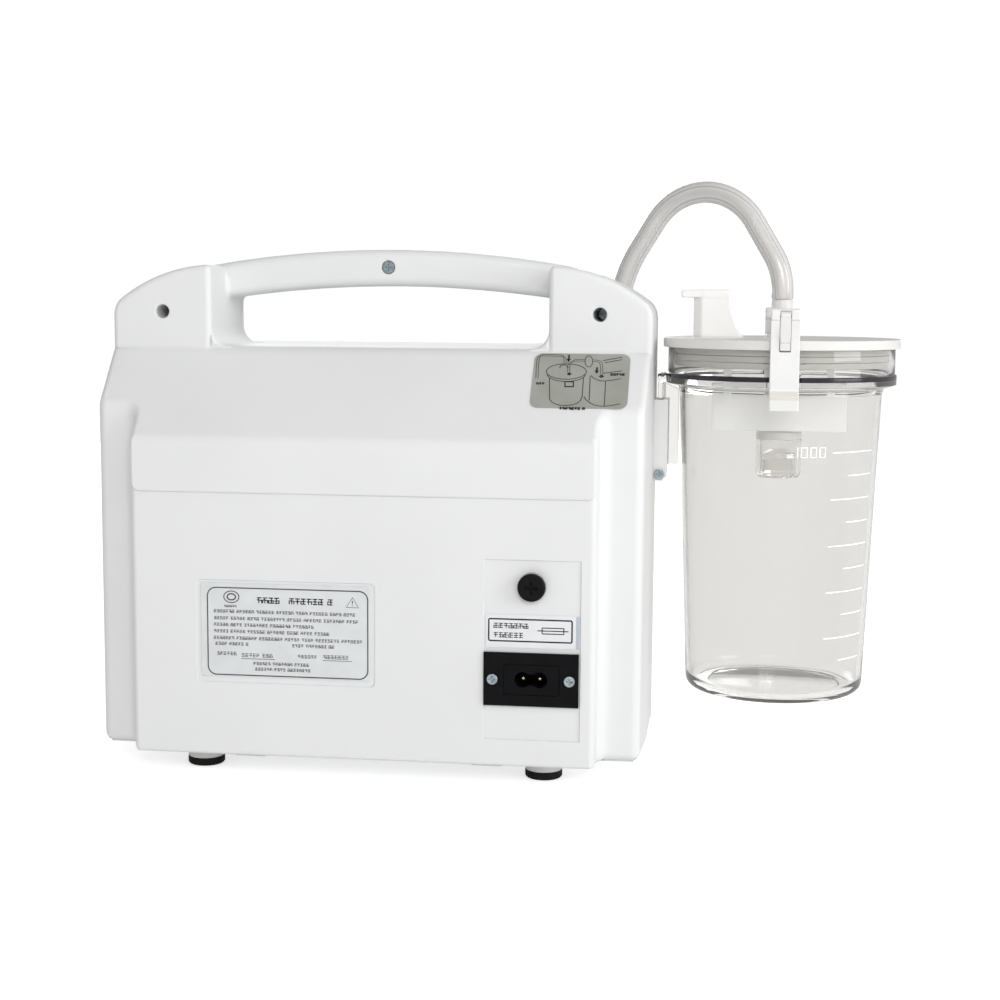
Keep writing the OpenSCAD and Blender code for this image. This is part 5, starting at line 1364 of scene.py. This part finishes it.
def fascia_art():
    sheet = upright_sheet(-82.5, -1)
    art = Print(sheet)
    knob_x, knob_z = REGULATOR
    # arc that widens clockwise around the knob
    count = 60
    points, faces = [], []
    for i in range(count + 1):
        turn = math.radians(230 - 280 * i / count)
        for radius in (21.0, 21.0 + (0.5 + 3.2 * i / count)):
            for height in (-0.03, 0.06):
                points.append(sheet(knob_x + radius * math.cos(turn),
                                    knob_z + radius * math.sin(turn), height))
    for i in range(count):
        a, b = 4 * i, 4 * i + 4
        faces += [(a + 1, b + 1, b + 3, a + 3), (a, a + 2, b + 2, b), (a, b, b + 1, a + 1),
                  (a + 2, a + 3, b + 3, b + 2)]
    end = 4 * count
    faces += [(0, 1, 3, 2), (end, end + 2, end + 3, end + 1)]
    art.add(points, faces)
    # minus and plus signs
    sign_z = knob_z - 21
    art.ribbon([(knob_x - 19.5, sign_z), (knob_x - 15.5, sign_z)], 0.8, top=0.06)
    art.ribbon([(knob_x + 15.5, sign_z), (knob_x + 19.5, sign_z)], 0.8, top=0.06)
    art.ribbon([(knob_x + 17.5, sign_z - 2), (knob_x + 17.5, sign_z + 2)], 0.8, top=0.06)
    # frames of the panel and of the switch
    art.ribbon(rounded_box(-75.5, 75.5, 44.5, 205.5, 7, 10), 0.6, closed=True)
    art.ribbon(rounded_box(26, 66, 55, 101, 4, 8), 0.5, closed=True)
    draw = random_source(41)
    art.small_print(30, 62, 104, 2.4, draw, width=0.38)
    art.small_print(-58, 2, 192, 3.6, draw, width=0.55)
    art.small_print(-46, -12, 108, 2.4, draw, width=0.38)
    # stripes at the lower left
    art.block((-62, 10), (-82.55, -82.47), (60, 63))
    art.block((-62, -14), (-82.55, -82.47), (66, 67.2))
    art.build("fascia_print", ["ink_white"], "housing")


def rocker_art():
    """Bar on the upper half of the rocker, and ring on the lower half."""
    tilt = math.radians(9)

    def on_half(direction):  # away is the distance from the pivot line along the face
        def place(across, away, height):
            y = -5 - 2 * away / 12.6 - height
            z = direction * away
            return (SWITCH[0] + across,
                    -79.5 + y * math.cos(tilt) - z * math.sin(tilt),
                    SWITCH[1] + y * math.sin(tilt) + z * math.cos(tilt))
        return place

    art = Print(on_half(1), top=0.06)
    art.ribbon([(0, 5.2), (0, 9.4)], 0.8)
    art.place = on_half(-1)
    art.ribbon(ellipse(0, 7.3, 2.1, 2.1, 28), 0.75, closed=True)
    art.build("rocker_print", ["ink_white"], "rocker")


nameplate_art()
fuse_label_art()
tube_diagram_art()
gauge_dial_art()
fascia_art()
rocker_art()

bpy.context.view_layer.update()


# ---------------------------------------------------------------- camera
def add_camera():
    """Looks at the rear from +Y; angles are in radians, places in metres."""
    heading, pitch, roll = 0.1304, 0.1168, 0.0069
    forward = Vector((math.sin(heading) * math.cos(pitch), -math.cos(heading) * math.cos(pitch),
                      -math.sin(pitch)))
    level = Vector((-math.cos(heading), -math.sin(heading), 0))
    upright = level.cross(forward)
    right = math.cos(roll) * level + math.sin(roll) * upright
    up = -math.sin(roll) * level + math.cos(roll) * upright
    camera = bpy.data.objects.new("camera", bpy.data.cameras.new("camera"))
    coll.objects.link(camera)
    camera.data.sensor_width = 36
    camera.data.lens = 61.94
    camera.data.clip_start = 0.02
    camera.data.clip_end = 60
    place = Matrix.Translation((-0.1828 + ORIGIN_X, 0.9296 + ORIGIN_Y, 0.2502))
    camera.matrix_world = place @ Matrix((right, up, -forward)).transposed().to_4x4()
    scene.camera = camera


# ---------------------------------------------------------------- floor, world and lights
def add_floor():
    mesh = bpy.data.meshes.new("floor")
    mesh.from_pydata([(-6, -6, 0), (6, -6, 0), (6, 6, 0), (-6, 6, 0)], [], [(0, 1, 2, 3)])
    floor = bpy.data.objects.new("floor", mesh)
    coll.objects.link(floor)
    material, tree = new_material("floor_paper")
    path = node(tree, "LightPath").outputs
    diffuse = node(tree, "BsdfDiffuse", {"Color": (0.86, 0.86, 0.86, 1)})
    # the paper glows more to the camera, so that it burns out to white
    glow = node(tree, "Emission", {
        "Color": (1, 1, 1, 1), "Strength": map_range(tree, path["Is Camera Ray"], 0.12, 0.62)})
    paper = node(tree, "AddShader", {0: diffuse, 1: glow})
    # an even white sheet, as seen through the clear jar
    even = node(tree, "Emission", {"Color": (1.0, 0.995, 0.985, 1), "Strength": 1.06})
    surface = mix_shader(tree, path["Is Transmission Ray"], paper, even)
    node(tree, "OutputMaterial", {0: surface})
    mesh.materials.append(material)


def add_world():
    world = bpy.data.worlds.new("studio")
    scene.world = world
    world.use_nodes = True
    tree = world.node_tree
    tree.nodes.clear()
    path = node(tree, "LightPath").outputs
    coords = node(tree, "TexCoord").outputs["Generated"]
    direction = node(tree, "SeparateXYZ", {0: coords}).outputs
    # brighter on the camera's side (+Y) and the jar's side (-X) of the room
    along_y = math_node(tree, "MULTIPLY_ADD", direction["Y"], 0.13, 0.475)
    strength = math_node(tree, "MULTIPLY_ADD", direction["X"], -0.15, along_y)
    room, to_camera, through_clear = (
        node(tree, "Background", {"Color": color, "Strength": value})
        for color, value in (((1.0, 0.99, 0.975, 1), strength), ((1, 1, 1, 1), 1.02),
                             ((1, 1, 1, 1), 1.06)))
    surface = mix_shader(tree, path["Is Transmission Ray"], room, through_clear)
    surface = mix_shader(tree, path["Is Camera Ray"], surface, to_camera)
    node(tree, "OutputWorld", {0: surface})


def area_light(name, place, target, size, power, color):
    """place and target are metres from the drawing's origin; power is in watts."""
    origin = Vector((ORIGIN_X, ORIGIN_Y, 0))
    light = bpy.data.lights.new(name, "AREA")
    light.shape = "RECTANGLE"
    light.size, light.size_y = size
    light.energy = power
    light.color = color
    obj = bpy.data.objects.new(name, light)
    coll.objects.link(obj)
    place, target = origin + Vector(place), origin + Vector(target)
    obj.location = place
    obj.rotation_mode = "QUATERNION"
    obj.rotation_quaternion = (target - place).to_track_quat("-Z", "Y")


add_camera()
add_floor()
add_world()
area_light("key", place=(-0.38, 1.35, 0.70), target=(-0.02, 0, 0.14), size=(0.5, 0.4),
           power=6.0, color=(1.0, 0.995, 0.985))
area_light("fill", place=(-1.9, 0.7, 0.7), target=(-0.1, 0, 0.15), size=(1.1, 1.0),
           power=14.5, color=(0.985, 0.992, 1.0))
area_light("front", place=(0.5, -1.9, 0.62), target=(0, 0, 0.14), size=(1.2, 0.8),
           power=11, color=(1.0, 0.998, 0.992))

# ---------------------------------------------------------------- render settings
view = scene.view_settings
view.view_transform = "Standard"
view.look = "None"
view.exposure = 0.0
view.gamma = 1.0
cycles = scene.cycles
cycles.max_bounces = 16
cycles.transmission_bounces = 14
cycles.transparent_max_bounces = 16
cycles.glossy_bounces = 4
cycles.diffuse_bounces = 4
cycles.caustics_reflective = False
cycles.caustics_refractive = False
